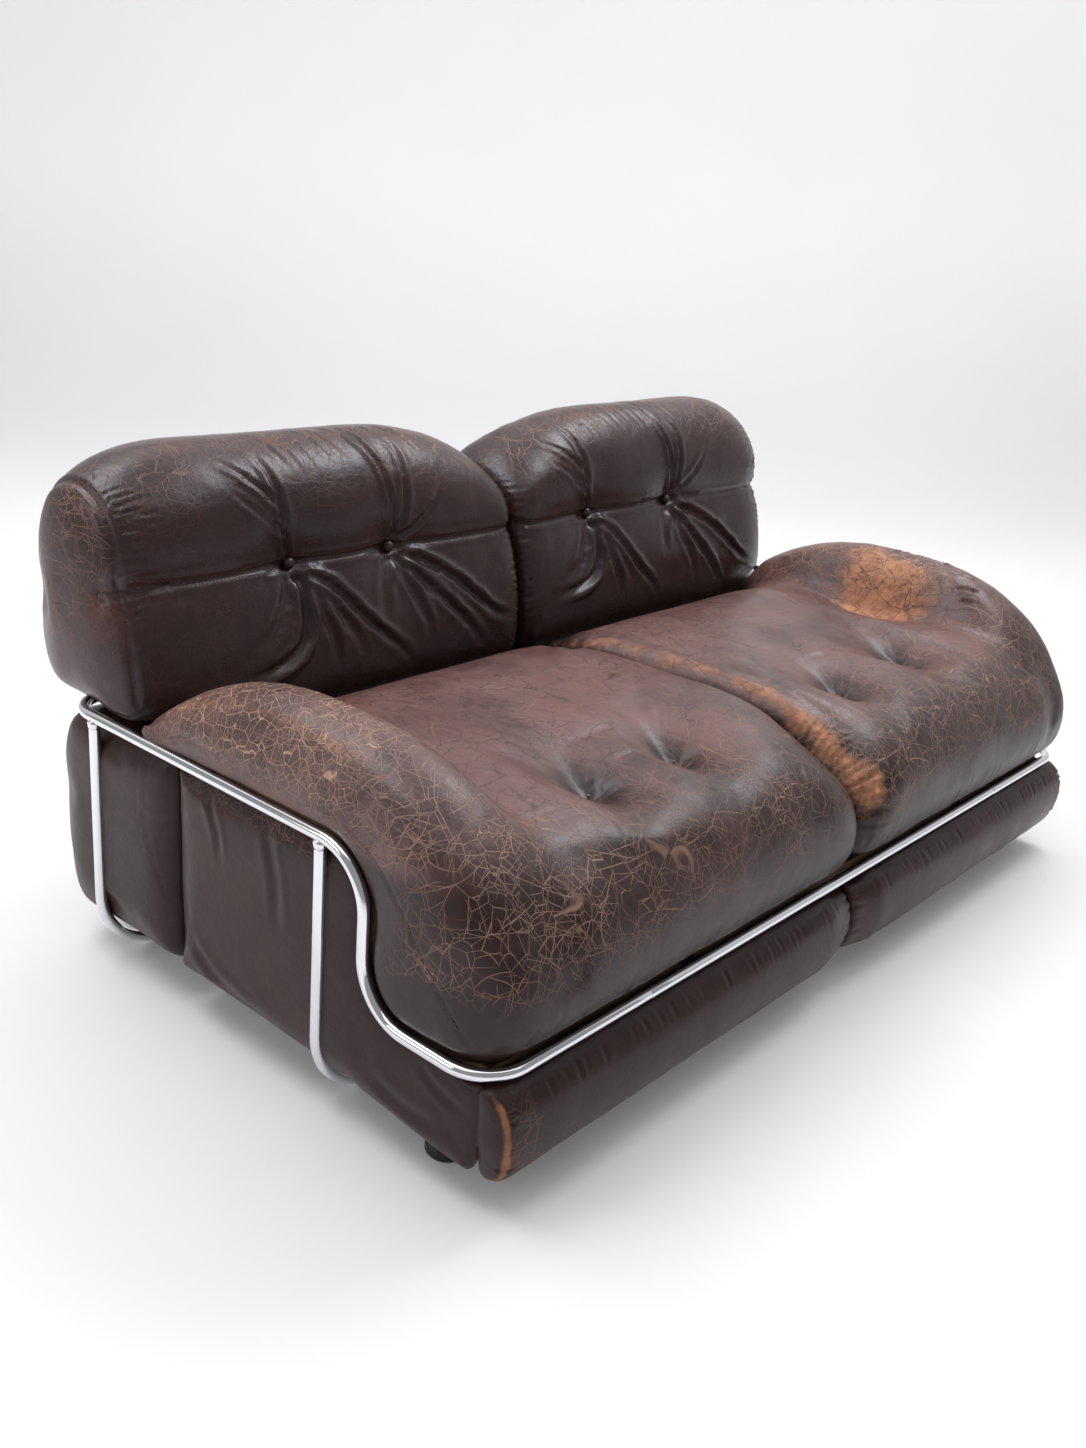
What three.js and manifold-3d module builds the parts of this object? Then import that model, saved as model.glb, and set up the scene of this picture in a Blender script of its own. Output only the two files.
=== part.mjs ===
// Two-seat lounge sofa: a leather body pinched by a bent chrome rail that stands on two U-shaped hoops.
// Millimetres, +Z up. The seat faces -Y, +X runs along the width, the origin is on the floor in the middle.
import * as THREE from "three";
import { mergeVertices } from "three/addons/utils/BufferGeometryUtils.js";
import Module from "manifold-3d";

const wasm = await Module();
wasm.setup();

// ---- driving dimensions ----------------------------------------------------------------------------
const GAP = 0.3; // clearance between pieces that touch
const TUBE_R = 8; // outside radius of every chrome tube
const TUBE_WALL = 1.5;
const TUBE_SIDES = 10;
const BEND_STEPS = 6; // stations along a 90 degree bend
const RAIL_X = 765; // centre line of the side rails
const RAIL_FRONT = -445;
const RAIL_BACK = 363;
const RAIL_HIGH = 370; // height of the rail behind the step
const RAIL_LOW = 176; // height of the rail in front of the step
const CORNER_R = 59; // plan radius of the four rail corners
const STEP_R = 73; // radius of both bends of the step
const STEP_Y = -172; // where the high rail starts to bend down
const SPLICE_X = 483; // joints of the front and back rails
const SPIGOT_LENGTH = 80;
const HOOP_Y = { front: -168, back: 296 };
const WELD_GAP = 1.5; // between a hoop's end and the rail above it
const HOOP_R = 96;
const FOOT_R = 27;
const FOOT_AT = [702, -335];

const BOARD = 18; // thickness of the timber frame boards
const BOARD_BOTTOM = 56;
const BOARD_TOP = 174;
const FRAME_FRONT = -420;
const FRAME_BACK = 118;
const SIDE_BOARD_X = 717; // inner face of a side board
const LINING = 2;
const STRAP = { width: 50, thickness: 2, spacing: 170, first: 110, count: 4 };

const BODY_SIDE = 756; // outer face of the leather below the rail
const BODY_BOTTOM = 54;
const FRONT_BOTTOM = 38; // the base padding hangs lower towards the front
const SEAM_Y = 130; // seat module ends and back module begins
const HALF_GAP = 3; // half the gap between the left and the right cushions
const SEAT_BOTTOM = 186;
const SEAT_TOP = 412;
const BOLSTER_TOP = 486;
const BACK_BOTTOM = 381;
const TUCK = { bottom: 326, front: 214, back: 244, side: 716 }; // the back cushion's tail behind the seat
const BACK_TOP = 728;
const BACK_REAR = 476;
const BOARD_LEAN = THREE.MathUtils.degToRad(6);
const BACK_BOARD = { y: 300, bottom: 60, length: 583, thickness: 15, inner: 40, outer: 700 };

const BUTTON = { r: 9, height: 7, y: 262, z: 548, rest: { left: [-471, -280], right: [193, 428] } };
const TUFTS = { left: [[-420, -277], [-237, -277]], right: [[200, -280], [430, -265]] };
const TUFT_TOP = 362;
const TWINE_R = 2;
const TWINE_HOLE_R = 3;

const LUG = { width: 30, thickness: 3 };
const SCREW = { r: 2.4, hole: 2.8, head: 5, headHeight: 3, length: 28 };
const SIDE_LUG_Y = 60;
const FRONT_LUG_X = 380;

// ---- materials -------------------------------------------------------------------------------------
const finish = (color, roughness, metalness = 0) =>
  new THREE.MeshStandardMaterial({ color, roughness, metalness });
const chrome = finish(0xd5d8da, 0.12, 1);
const zinc = finish(0x9a9c9e, 0.4, 1);
const seatLeather = finish(0x5d4540, 0.45);
const backLeather = finish(0x40332f, 0.4);
const baseLeather = finish(0x3d3330, 0.42);
const timber = finish(0xb08a5c, 0.75);
const plywood = finish(0xc09a68, 0.7);
const rubberWeb = finish(0x3a3530, 0.85);
const liningCloth = finish(0x1c1b1b, 0.95);
const twineCloth = finish(0x8c7a5e, 0.9);
const blackPlastic = finish(0x161616, 0.5);

const sofa = new THREE.Group();
sofa.name = "sofa";

function add(name, geometry, material) {
  const mesh = new THREE.Mesh(geometry, material);
  mesh.name = name;
  sofa.add(mesh);
  return mesh;
}

// ---- solids: closed geometry in, closed geometry out ------------------------------------------------
function solid(geometry) {
  const bare = geometry.clone();
  bare.deleteAttribute("normal");
  bare.deleteAttribute("uv");
  const merged = mergeVertices(bare, 1e-3);
  const vertProperties = new Float32Array(merged.attributes.position.array);
  const triVerts = new Uint32Array(merged.index.array);
  return new wasm.Manifold(new wasm.Mesh({ numProp: 3, vertProperties, triVerts }));
}

function geometryOf(body) {
  const mesh = body.getMesh();
  const geometry = new THREE.BufferGeometry();
  geometry.setAttribute("position", new THREE.BufferAttribute(mesh.vertProperties, 3));
  geometry.setIndex(new THREE.BufferAttribute(mesh.triVerts, 1));
  return geometry;
}

function cut(geometry, ...tools) {
  return geometryOf(tools.reduce((body, tool) => body.subtract(solid(tool)), solid(geometry)));
}

function join(first, ...rest) {
  return geometryOf(rest.reduce((body, piece) => body.add(solid(piece)), solid(first)));
}

// A box between two corners.
function block([x0, y0, z0], [x1, y1, z1]) {
  const geometry = new THREE.BoxGeometry(x1 - x0, y1 - y0, z1 - z0);
  return geometry.translate((x0 + x1) / 2, (y0 + y1) / 2, (z0 + z1) / 2);
}

// A round bar along Z from its lower end.
function bar(radius, length, [x, y, z], sides = 8) {
  const geometry = new THREE.CylinderGeometry(radius, radius, length, sides);
  return geometry.rotateX(Math.PI / 2).translate(x, y, z + length / 2);
}

// A side outline, drawn with shape x = Y and shape y = Z, as a slab from x0 to x1.
function slab(outline, x0, x1, bevel = 0) {
  const geometry = new THREE.ExtrudeGeometry(outline, {
    depth: x1 - x0 - 2 * bevel,
    curveSegments: 5,
    bevelEnabled: bevel > 0,
    bevelThickness: bevel,
    bevelSize: bevel,
    bevelOffset: -bevel,
    bevelSegments: 3,
  });
  const turn = new THREE.Matrix4().makeBasis(
    new THREE.Vector3(0, 1, 0),
    new THREE.Vector3(0, 0, 1),
    new THREE.Vector3(1, 0, 0),
  );
  return geometry.applyMatrix4(turn).translate(x0 + bevel, 0, 0);
}

// The same slab on the left (side -1) or the right (side 1), from |x| = near to |x| = far.
function sideSlab(outline, side, near, far, bevel = 0) {
  return side < 0 ? slab(outline, -far, -near, bevel) : slab(outline, near, far, bevel);
}

// ---- bent tubes ------------------------------------------------------------------------------------
// A route made of straight runs and round bends. Each run has a station at its end, each bend one per step.
class BentRoute extends THREE.Curve {
  constructor(start, direction) {
    super();
    this.heading = direction.clone().normalize();
    this.stations = [{ at: start.clone(), along: this.heading.clone() }];
  }

  run(length) {
    const last = this.stations.at(-1);
    const at = last.at.clone().addScaledVector(this.heading, length);
    this.stations.push({ at, along: this.heading.clone() });
    return this;
  }

  bend(radius, towards) {
    const from = this.stations.at(-1).at.clone();
    const ahead = this.heading.clone();
    for (let i = 1; i <= BEND_STEPS; i++) {
      const angle = (i / BEND_STEPS) * (Math.PI / 2);
      const at = from.clone().addScaledVector(ahead, radius * Math.sin(angle));
      at.addScaledVector(towards, radius * (1 - Math.cos(angle)));
      const along = ahead.clone().multiplyScalar(Math.cos(angle));
      along.addScaledVector(towards, Math.sin(angle));
      this.stations.push({ at, along });
    }
    this.heading = towards.clone();
    return this;
  }

  get steps() {
    return this.stations.length - 1;
  }

  getPoint(t) {
    return this.stations[Math.round(t * this.steps)].at.clone();
  }

  getTangent(t) {
    return this.stations[Math.round(t * this.steps)].along.clone();
  }

  getUtoTmapping(u) {
    return u;
  }
}

function circle(Outline, radius) {
  const outline = new Outline();
  for (let i = 0; i < TUBE_SIDES; i++) {
    const angle = (i / TUBE_SIDES) * 2 * Math.PI;
    const at = [radius * Math.cos(angle), radius * Math.sin(angle)];
    if (i === 0) outline.moveTo(...at);
    else outline.lineTo(...at);
  }
  outline.closePath();
  return outline;
}

function rod(route, radius, boreRadius = 0) {
  const section = circle(THREE.Shape, radius);
  if (boreRadius > 0) section.holes.push(circle(THREE.Path, boreRadius));
  return new THREE.ExtrudeGeometry(section, {
    steps: route.steps,
    extrudePath: route,
    bevelEnabled: false,
  });
}

function tube(route) {
  return rod(route, TUBE_R, TUBE_R - TUBE_WALL);
}

const UP = new THREE.Vector3(0, 0, 1);
const DOWN = new THREE.Vector3(0, 0, -1);
const FORWARD = new THREE.Vector3(0, -1, 0);
const outward = (side) => new THREE.Vector3(side, 0, 0);

// From the back splice round the back corner, along the side, down the step and round to the front splice.
function sideRail(side) {
  const straight = RAIL_X - CORNER_R - SPLICE_X - GAP / 2;
  const start = new THREE.Vector3(side * (SPLICE_X + GAP / 2), RAIL_BACK, RAIL_HIGH);
  const stepDrop = RAIL_HIGH - RAIL_LOW - 2 * STEP_R;
  const stepEnd = STEP_Y - 2 * STEP_R;
  const route = new BentRoute(start, outward(side))
    .run(straight)
    .bend(CORNER_R, FORWARD)
    .run(RAIL_BACK - CORNER_R - STEP_Y)
    .bend(STEP_R, DOWN)
    .run(stepDrop)
    .bend(STEP_R, FORWARD)
    .run(stepEnd - (RAIL_FRONT + CORNER_R))
    .bend(CORNER_R, outward(-side))
    .run(straight);
  return tube(route);
}

function crossRail(y, z) {
  const length = 2 * SPLICE_X - GAP;
  const start = new THREE.Vector3(-length / 2, y, z);
  return tube(new BentRoute(start, outward(1)).run(length));
}

function hoopRoute(y) {
  const top = RAIL_HIGH - TUBE_R - WELD_GAP;
  const start = new THREE.Vector3(-RAIL_X, y, top);
  const drop = top - TUBE_R - HOOP_R;
  return new BentRoute(start, DOWN)
    .run(drop)
    .bend(HOOP_R, outward(1))
    .run(2 * (RAIL_X - HOOP_R))
    .bend(HOOP_R, UP)
    .run(drop);
}

// The groove that a hoop presses into the padding, as a cutting tool.
function hoopGroove(y) {
  return rod(hoopRoute(y), TUBE_R + 1);
}

function spigot(side, y, z) {
  const radius = TUBE_R - TUBE_WALL - 2 * GAP;
  const geometry = bar(radius, SPIGOT_LENGTH, [0, 0, -SPIGOT_LENGTH / 2], TUBE_SIDES);
  return geometry.rotateY(Math.PI / 2).translate(side * SPLICE_X, y, z);
}

// ---- the step line, shared by the rail, the side boards, the side pads and the seat cushions --------
// Adds the line of the step to a side outline, from back to front, at a distance above the rail's centre.
function stepLine(outline, above) {
  const upperZ = RAIL_HIGH - STEP_R;
  const lowerZ = RAIL_LOW + STEP_R;
  outline.lineTo(STEP_Y, RAIL_HIGH + above);
  outline.absarc(STEP_Y, upperZ, STEP_R + above, Math.PI / 2, Math.PI, false);
  outline.absarc(STEP_Y - 2 * STEP_R, lowerZ, STEP_R - above, 0, -Math.PI / 2, true);
  return outline;
}

function belowRail(front, back, frontBottom, backBottom, above) {
  const outline = new THREE.Shape();
  outline.moveTo(front, frontBottom);
  outline.lineTo(back, backBottom);
  outline.lineTo(back, RAIL_HIGH + above);
  stepLine(outline, above);
  outline.lineTo(front, RAIL_LOW + above);
  outline.closePath();
  return outline;
}

// ---- timber frame ----------------------------------------------------------------------------------
function screwHole(x, y, top) {
  return bar(SCREW.hole, SCREW.length + 2, [x, y, top - SCREW.length - 1]);
}

const sideLugTop = RAIL_HIGH - 2 + GAP + LUG.thickness;
const frontLugTop = BOARD_TOP + GAP + LUG.thickness;
const sideScrewX = SIDE_BOARD_X + BOARD / 2;
const frontScrewY = FRAME_FRONT + BOARD / 2;

function sideBoard(side) {
  const outline = belowRail(FRAME_FRONT, FRAME_BACK, BOARD_BOTTOM, BOARD_BOTTOM, -2);
  const board = sideSlab(outline, side, SIDE_BOARD_X, SIDE_BOARD_X + BOARD);
  return cut(board, screwHole(side * sideScrewX, SIDE_LUG_Y, sideLugTop));
}

function frontBoard() {
  const x = SIDE_BOARD_X - GAP;
  const board = block([-x, FRAME_FRONT, BOARD_BOTTOM], [x, FRAME_FRONT + BOARD, BOARD_TOP]);
  const holes = [-1, 1].map((side) => screwHole(side * FRONT_LUG_X, frontScrewY, frontLugTop));
  return cut(board, ...holes);
}

function rearBoard() {
  const x = SIDE_BOARD_X - GAP;
  return block([-x, FRAME_BACK - BOARD, BOARD_BOTTOM], [x, FRAME_BACK, BOARD_TOP]);
}

function centreBoard() {
  const front = FRAME_FRONT + BOARD + GAP;
  const back = FRAME_BACK - BOARD - GAP;
  return block([-BOARD / 2, front, BOARD_BOTTOM], [BOARD / 2, back, BOARD_TOP]);
}

function strap(side, index) {
  const x = side * (STRAP.first + index * STRAP.spacing);
  const z = BOARD_TOP + GAP;
  const half = STRAP.width / 2;
  return block([x - half, FRAME_FRONT, z], [x + half, FRAME_BACK, z + STRAP.thickness]);
}

function lining() {
  const x = SIDE_BOARD_X + BOARD;
  const top = BOARD_BOTTOM - GAP;
  return block([-x, FRAME_FRONT, top - LINING], [x, FRAME_BACK, top]);
}

// A plywood back, leaning back; grown by a margin it is also the tool that cuts its slot in the padding.
function backBoard(side, margin = 0) {
  const { y, bottom, length, thickness, inner, outer } = BACK_BOARD;
  const half = thickness / 2 + margin;
  const [near, far] = [inner - margin, outer + margin];
  const x0 = side < 0 ? -far : near;
  const x1 = side < 0 ? -near : far;
  const board = block([x0, -half, -margin], [x1, half, length + margin]);
  return board.rotateX(-BOARD_LEAN).translate(0, y, bottom);
}

// ---- steel lugs and screws -------------------------------------------------------------------------
function sideLug(side) {
  const [near, far] = [SIDE_BOARD_X, RAIL_X - TUBE_R - GAP];
  const x0 = side < 0 ? -far : near;
  const x1 = side < 0 ? -near : far;
  const half = LUG.width / 2;
  const bottom = sideLugTop - LUG.thickness;
  const plate = block([x0, SIDE_LUG_Y - half, bottom], [x1, SIDE_LUG_Y + half, sideLugTop]);
  return cut(plate, screwHole(side * sideScrewX, SIDE_LUG_Y, sideLugTop + 2));
}

function frontLug(side) {
  const x = side * FRONT_LUG_X;
  const half = LUG.width / 2;
  const rail = RAIL_FRONT + TUBE_R + GAP;
  const inner = FRAME_FRONT + BOARD;
  const plate = block([x - half, rail, frontLugTop - LUG.thickness], [x + half, inner, frontLugTop]);
  return cut(plate, screwHole(x, frontScrewY, frontLugTop + 2));
}

function screw(x, y, seat) {
  const shank = bar(SCREW.r, SCREW.length, [x, y, seat + GAP + 1 - SCREW.length]);
  const head = bar(SCREW.head, SCREW.headHeight, [x, y, seat + GAP]);
  return join(shank, head);
}

// ---- upholstery: plain closed forms ----------------------------------------------------------------
function seatOutline() {
  const outline = new THREE.Shape();
  outline.moveTo(-445, SEAT_BOTTOM);
  outline.bezierCurveTo(-482, 215, -470, 290, -400, 335);
  outline.bezierCurveTo(-330, 380, -250, SEAT_TOP - 12, -140, SEAT_TOP - 10);
  outline.bezierCurveTo(-40, SEAT_TOP - 10, 60, SEAT_TOP - 12, 120, SEAT_TOP - 30);
  outline.lineTo(TUCK.front - 8, TUCK.bottom + 18);
  outline.lineTo(TUCK.front - 8, TUCK.bottom + 2);
  outline.lineTo(SEAM_Y - 2, TUCK.bottom + 2);
  outline.lineTo(SEAM_Y - 2, SEAT_BOTTOM);
  outline.closePath();
  return outline;
}

// The raised roll along the outer side, which rests on the high rail and runs down in front of the step.
function bolsterOutline() {
  const rest = RAIL_HIGH + 12;
  const outline = new THREE.Shape();
  outline.moveTo(205, rest);
  stepLine(outline, 12);
  outline.lineTo(-445, RAIL_LOW + 12);
  outline.bezierCurveTo(-496, 220, -489.25, 320, -386, 394);
  outline.bezierCurveTo(-310, 455, -220, BOLSTER_TOP, -120, BOLSTER_TOP);
  outline.bezierCurveTo(20, BOLSTER_TOP, 130, 450, 205, rest);
  outline.closePath();
  return outline;
}

function twineHole(x, y) {
  return bar(TWINE_HOLE_R, BOLSTER_TOP, [x, y, 0], 6);
}

function seatCushion(side, tufts) {
  const inner = sideSlab(seatOutline(), side, HALF_GAP, TUCK.side - 1);
  const roll = sideSlab(bolsterOutline(), side, SIDE_BOARD_X - 60, RAIL_X + 5, 18);
  const overBoard = block(
    [Math.min(side * 650, side * 780), -600, 0],
    [Math.max(side * 650, side * 780), 600, 176],
  );
  const dimples = tufts.map(([x, y]) => {
    const cone = new THREE.ConeGeometry(40, 60, 8);
    return cone.rotateX(-Math.PI / 2).translate(x, y, TUFT_TOP + 30);
  });
  const holes = tufts.map(([x, y]) => twineHole(x, y));
  return cut(join(inner, roll), overBoard, ...dimples, ...holes);
}

function sidePad(side) {
  const outline = belowRail(FRAME_FRONT, SEAM_Y - 2, FRONT_BOTTOM, BODY_BOTTOM, -10);
  const pad = sideSlab(outline, side, SIDE_BOARD_X + BOARD + 1, BODY_SIDE);
  return cut(pad, hoopGroove(HOOP_Y.front));
}

// The half-round pad under the front rail.
function frontPad(side) {
  const top = RAIL_LOW - TUBE_R - 2;
  const back = FRAME_FRONT - 1;
  const outline = new THREE.Shape();
  outline.moveTo(back, FRONT_BOTTOM);
  outline.lineTo(RAIL_FRONT + 10, FRONT_BOTTOM);
  outline.bezierCurveTo(-488, FRONT_BOTTOM + 8, -488, top - 10, RAIL_FRONT + 10, top);
  outline.lineTo(back, top);
  outline.closePath();
  return sideSlab(outline, side, HALF_GAP, BODY_SIDE + 4, 10);
}

// The ledge along the front of the lower back, on which the seat's rear edge and the back's tail rest.
function ledge() {
  const { bottom, back, side } = TUCK;
  return block([-side - 2, SEAM_Y - 20, bottom], [side + 2, back + 2, RAIL_HIGH]);
}

function lowerBackPad(side) {
  const top = RAIL_HIGH - TUBE_R - 2;
  const outline = new THREE.Shape();
  outline.moveTo(SEAM_Y + 2, BODY_BOTTOM);
  outline.lineTo(370, BODY_BOTTOM);
  outline.bezierCurveTo(425, 110, 425, 300, RAIL_BACK, top);
  outline.lineTo(SEAM_Y + 2, top);
  outline.closePath();
  const pad = sideSlab(outline, side, HALF_GAP, BODY_SIDE, 8);
  return cut(pad, backBoard(side, 1), hoopGroove(HOOP_Y.back), ledge());
}

function backOutline() {
  const outline = new THREE.Shape();
  outline.moveTo(238, BACK_BOTTOM);
  outline.bezierCurveTo(236, 440, 246, 500, BUTTON.y - 6, BUTTON.z);
  outline.bezierCurveTo(272, 640, 300, BACK_TOP, 378, BACK_TOP);
  outline.bezierCurveTo(450, BACK_TOP, BACK_REAR, 620, BACK_REAR, 520);
  outline.bezierCurveTo(BACK_REAR, 440, 460, BACK_BOTTOM, 400, BACK_BOTTOM);
  outline.closePath();
  return outline;
}

// The tail that hangs from the front of the back cushion, down behind the seat.
function tailOutline() {
  const outline = new THREE.Shape();
  outline.moveTo(TUCK.front, TUCK.bottom + 2);
  outline.lineTo(TUCK.back, TUCK.bottom + 2);
  outline.lineTo(TUCK.back, BACK_BOTTOM);
  outline.lineTo(TUCK.back + 20, BACK_BOTTOM + 10);
  outline.lineTo(TUCK.back, BACK_BOTTOM + 70);
  outline.bezierCurveTo(222, BACK_BOTTOM + 60, TUCK.front - 4, 400, TUCK.front, TUCK.bottom + 2);
  outline.closePath();
  return outline;
}

// A round bar along Y at the buttons' height.
function barAlongY(radius, x, y0, y1, sides = 6) {
  return bar(radius, y1 - y0, [0, 0, 0], sides).rotateX(-Math.PI / 2).translate(x, y0, BUTTON.z);
}

// Where a button's twine meets the front of the leaning plywood.
const boardFront =
  BACK_BOARD.y +
  (BUTTON.z - BACK_BOARD.bottom) * Math.tan(BOARD_LEAN) -
  BACK_BOARD.thickness / 2 / Math.cos(BOARD_LEAN);

function backCushion(side, buttons) {
  const tail = sideSlab(tailOutline(), side, HALF_GAP, TUCK.side);
  const body = join(sideSlab(backOutline(), side, HALF_GAP, RAIL_X, 30), tail);
  const holes = buttons.map((x) => barAlongY(TWINE_HOLE_R, x, BUTTON.y - 1, boardFront + 1));
  const recesses = buttons.map((x) => barAlongY(BUTTON.r + 2, x, BUTTON.y - 40, BUTTON.y, 12));
  return cut(body, backBoard(side, 1), ...holes, ...recesses);
}

function seatTie([x, y]) {
  const bottom = BOARD_TOP + STRAP.thickness + 2 * GAP;
  return bar(TWINE_R, TUFT_TOP - bottom, [x, y, bottom], 6);
}

// A leather-covered dome, its flat back at the button's seat and its crown towards -Y.
function button(x) {
  const profile = [new THREE.Vector2(0, 0), new THREE.Vector2(BUTTON.r, 0)];
  const steps = 4;
  for (let i = 0; i <= steps; i++) {
    const angle = (i / steps) * (Math.PI / 2);
    const radius = i === steps ? 0 : BUTTON.r * Math.cos(angle);
    profile.push(new THREE.Vector2(radius, 2 + (BUTTON.height - 2) * Math.sin(angle)));
  }
  const dome = new THREE.LatheGeometry(profile, 12);
  return dome.rotateX(Math.PI).translate(x, BUTTON.y - GAP, BUTTON.z);
}

function foot(side) {
  const top = BOARD_BOTTOM - LINING - 2 * GAP;
  const profile = [
    [0, 0],
    [FOOT_R - 3, 0],
    [FOOT_R, 4],
    [FOOT_R, 14],
    [FOOT_R - 5, 20],
    [FOOT_R - 8, top],
    [0, top],
  ].map(([r, z]) => new THREE.Vector2(r, z));
  const geometry = new THREE.LatheGeometry(profile, 20);
  return geometry.rotateX(Math.PI / 2).translate(side * FOOT_AT[0], FOOT_AT[1], 0);
}

// ---- assembly --------------------------------------------------------------------------------------
add("rail_front", crossRail(RAIL_FRONT, RAIL_LOW), chrome);
add("rail_back", crossRail(RAIL_BACK, RAIL_HIGH), chrome);
add("hoop_front", tube(hoopRoute(HOOP_Y.front)), chrome);
add("hoop_back", tube(hoopRoute(HOOP_Y.back)), chrome);
add("frame_board_front", frontBoard(), timber);
add("frame_board_rear", rearBoard(), timber);
add("frame_board_centre", centreBoard(), timber);
add("underside_lining", lining(), liningCloth);

for (const [name, side] of [["left", -1], ["right", 1]]) {
  add(`rail_${name}`, sideRail(side), chrome);
  add(`spigot_front_${name}`, spigot(side, RAIL_FRONT, RAIL_LOW), zinc);
  add(`spigot_back_${name}`, spigot(side, RAIL_BACK, RAIL_HIGH), zinc);
  add(`foot_${name}`, foot(side), blackPlastic);
  add(`frame_board_${name}`, sideBoard(side), timber);
  add(`back_board_${name}`, backBoard(side), plywood);
  add(`lug_side_${name}`, sideLug(side), zinc);
  add(`lug_front_${name}`, frontLug(side), zinc);
  add(`screw_side_${name}`, screw(side * sideScrewX, SIDE_LUG_Y, sideLugTop), zinc);
  add(`screw_front_${name}`, screw(side * FRONT_LUG_X, frontScrewY, frontLugTop), zinc);
  for (let i = 0; i < STRAP.count; i++) {
    add(`strap_${name}_${i + 1}`, strap(side, i), rubberWeb);
  }
  add(`seat_cushion_${name}`, seatCushion(side, TUFTS[name]), seatLeather);
  add(`side_pad_${name}`, sidePad(side), baseLeather);
  add(`front_pad_${name}`, frontPad(side), baseLeather);
  add(`lower_back_${name}`, lowerBackPad(side), baseLeather);
  add(`back_cushion_${name}`, backCushion(side, BUTTON.rest[name]), backLeather);
  TUFTS[name].forEach((tuft, i) => add(`seat_tie_${name}_${i + 1}`, seatTie(tuft), twineCloth));
  BUTTON.rest[name].forEach((x, i) => {
    add(`button_${name}_${i + 1}`, button(x), backLeather);
    const tie = barAlongY(TWINE_R, x, BUTTON.y + GAP, boardFront - 2 * GAP);
    add(`button_tie_${name}_${i + 1}`, tie, twineCloth);
  });
}

export default sofa;
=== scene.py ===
import math

import bmesh
import bpy
import numpy as np
from mathutils import Matrix, Vector, noise


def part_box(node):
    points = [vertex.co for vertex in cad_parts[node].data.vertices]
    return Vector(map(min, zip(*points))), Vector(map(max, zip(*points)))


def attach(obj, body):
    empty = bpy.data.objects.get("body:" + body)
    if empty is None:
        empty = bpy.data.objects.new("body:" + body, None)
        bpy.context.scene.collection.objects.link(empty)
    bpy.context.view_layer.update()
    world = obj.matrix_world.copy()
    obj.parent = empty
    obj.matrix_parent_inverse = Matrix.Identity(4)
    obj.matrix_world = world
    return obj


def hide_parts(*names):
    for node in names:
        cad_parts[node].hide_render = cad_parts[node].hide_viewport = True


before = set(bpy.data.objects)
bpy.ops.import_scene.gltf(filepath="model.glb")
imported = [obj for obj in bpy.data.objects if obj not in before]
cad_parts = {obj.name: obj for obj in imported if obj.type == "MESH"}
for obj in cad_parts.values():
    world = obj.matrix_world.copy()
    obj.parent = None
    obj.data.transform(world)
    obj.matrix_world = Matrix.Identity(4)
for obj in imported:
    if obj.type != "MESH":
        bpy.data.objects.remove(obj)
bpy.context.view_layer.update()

# Sizes and outlines below are in millimetres in the part's frame; meshes are made in metres.
MM = 0.001
LEFT, RIGHT = -1, 1
SIDES = {"left": LEFT, "right": RIGHT}
TUBE_R = 8.0
RAIL_X, RAIL_FRONT, RAIL_BACK = 765.0, -445.0, 363.0
RAIL_HIGH, RAIL_LOW = 370.0, 176.0
CORNER_R, STEP_R, STEP_Y = 59.0, 73.0, -172.0
SPLICE_X, SPLICE_GAP = 483.0, 0.35
HOOP_R = 96.0
HOOP_Y = {"hoop_front": -168.0, "hoop_back": 296.0}


def unit(value):
    return np.clip(value, 0, 1)


def bell(offset, width):
    """1 in the middle, falling off smoothly over a width."""
    return np.exp(-((offset / width) ** 2))


def spot(across, wide, along, long):
    """1 in the middle of an oval, falling off smoothly each way."""
    return np.exp(-((across / wide) ** 2) - (along / long) ** 2)


# ---- curves ----
def smooth_line(points, count):
    """An even run of `count` points on a smooth curve through the given points."""
    p = np.asarray(points, float)
    tangent = np.gradient(p, axis=0)
    step = np.linspace(0, 1, 13)[:, None]
    h00, h10 = 2 * step**3 - 3 * step**2 + 1, step**3 - 2 * step**2 + step
    h01, h11 = -2 * step**3 + 3 * step**2, step**3 - step**2
    dense = [h00 * a + h10 * ta + h01 * b + h11 * tb for a, b, ta, tb in zip(p, p[1:], tangent, tangent[1:])]
    return even(np.vstack([d[:-1] for d in dense] + [p[-1:]]), count)


def even(points, count):
    """The same line, as `count` points an equal way apart."""
    p = np.asarray(points, float)
    along = np.concatenate([[0], np.cumsum(np.linalg.norm(np.diff(p, axis=0), axis=1))])
    at = np.linspace(0, along[-1], count)
    return np.stack([np.interp(at, along, p[:, k]) for k in range(p.shape[1])], axis=1)


def arc(centre, radius, start, end, count=12):
    """A round arc in a plane, angles in degrees."""
    a = np.radians(np.linspace(start, end, count))
    return np.stack([centre[0] + radius * np.cos(a), centre[1] + radius * np.sin(a)], axis=1)


def route(start, steps, bend_steps=14):
    """A centre line of runs (a length) and 90 degree bends ((radius, towards))."""
    at, heading = np.array(start[0], float), np.array(start[1], float)
    line, headings = [at.copy()], [heading.copy()]
    for step in steps:
        if np.isscalar(step):
            for share in np.linspace(0, 1, max(2, int(step / 25)) + 1)[1:]:
                line.append(at + heading * step * share)
                headings.append(heading.copy())
            at = at + heading * step
            continue
        radius, towards = step[0], np.array(step[1], float)
        origin, ahead = at.copy(), heading.copy()
        for a in np.linspace(0, math.pi / 2, bend_steps + 1)[1:]:
            at = origin + ahead * radius * math.sin(a) + towards * radius * (1 - math.cos(a))
            heading = ahead * math.cos(a) + towards * math.sin(a)
            line.append(at.copy())
            headings.append(heading.copy())
        heading = towards
    return np.array(line), np.array(headings)


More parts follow.
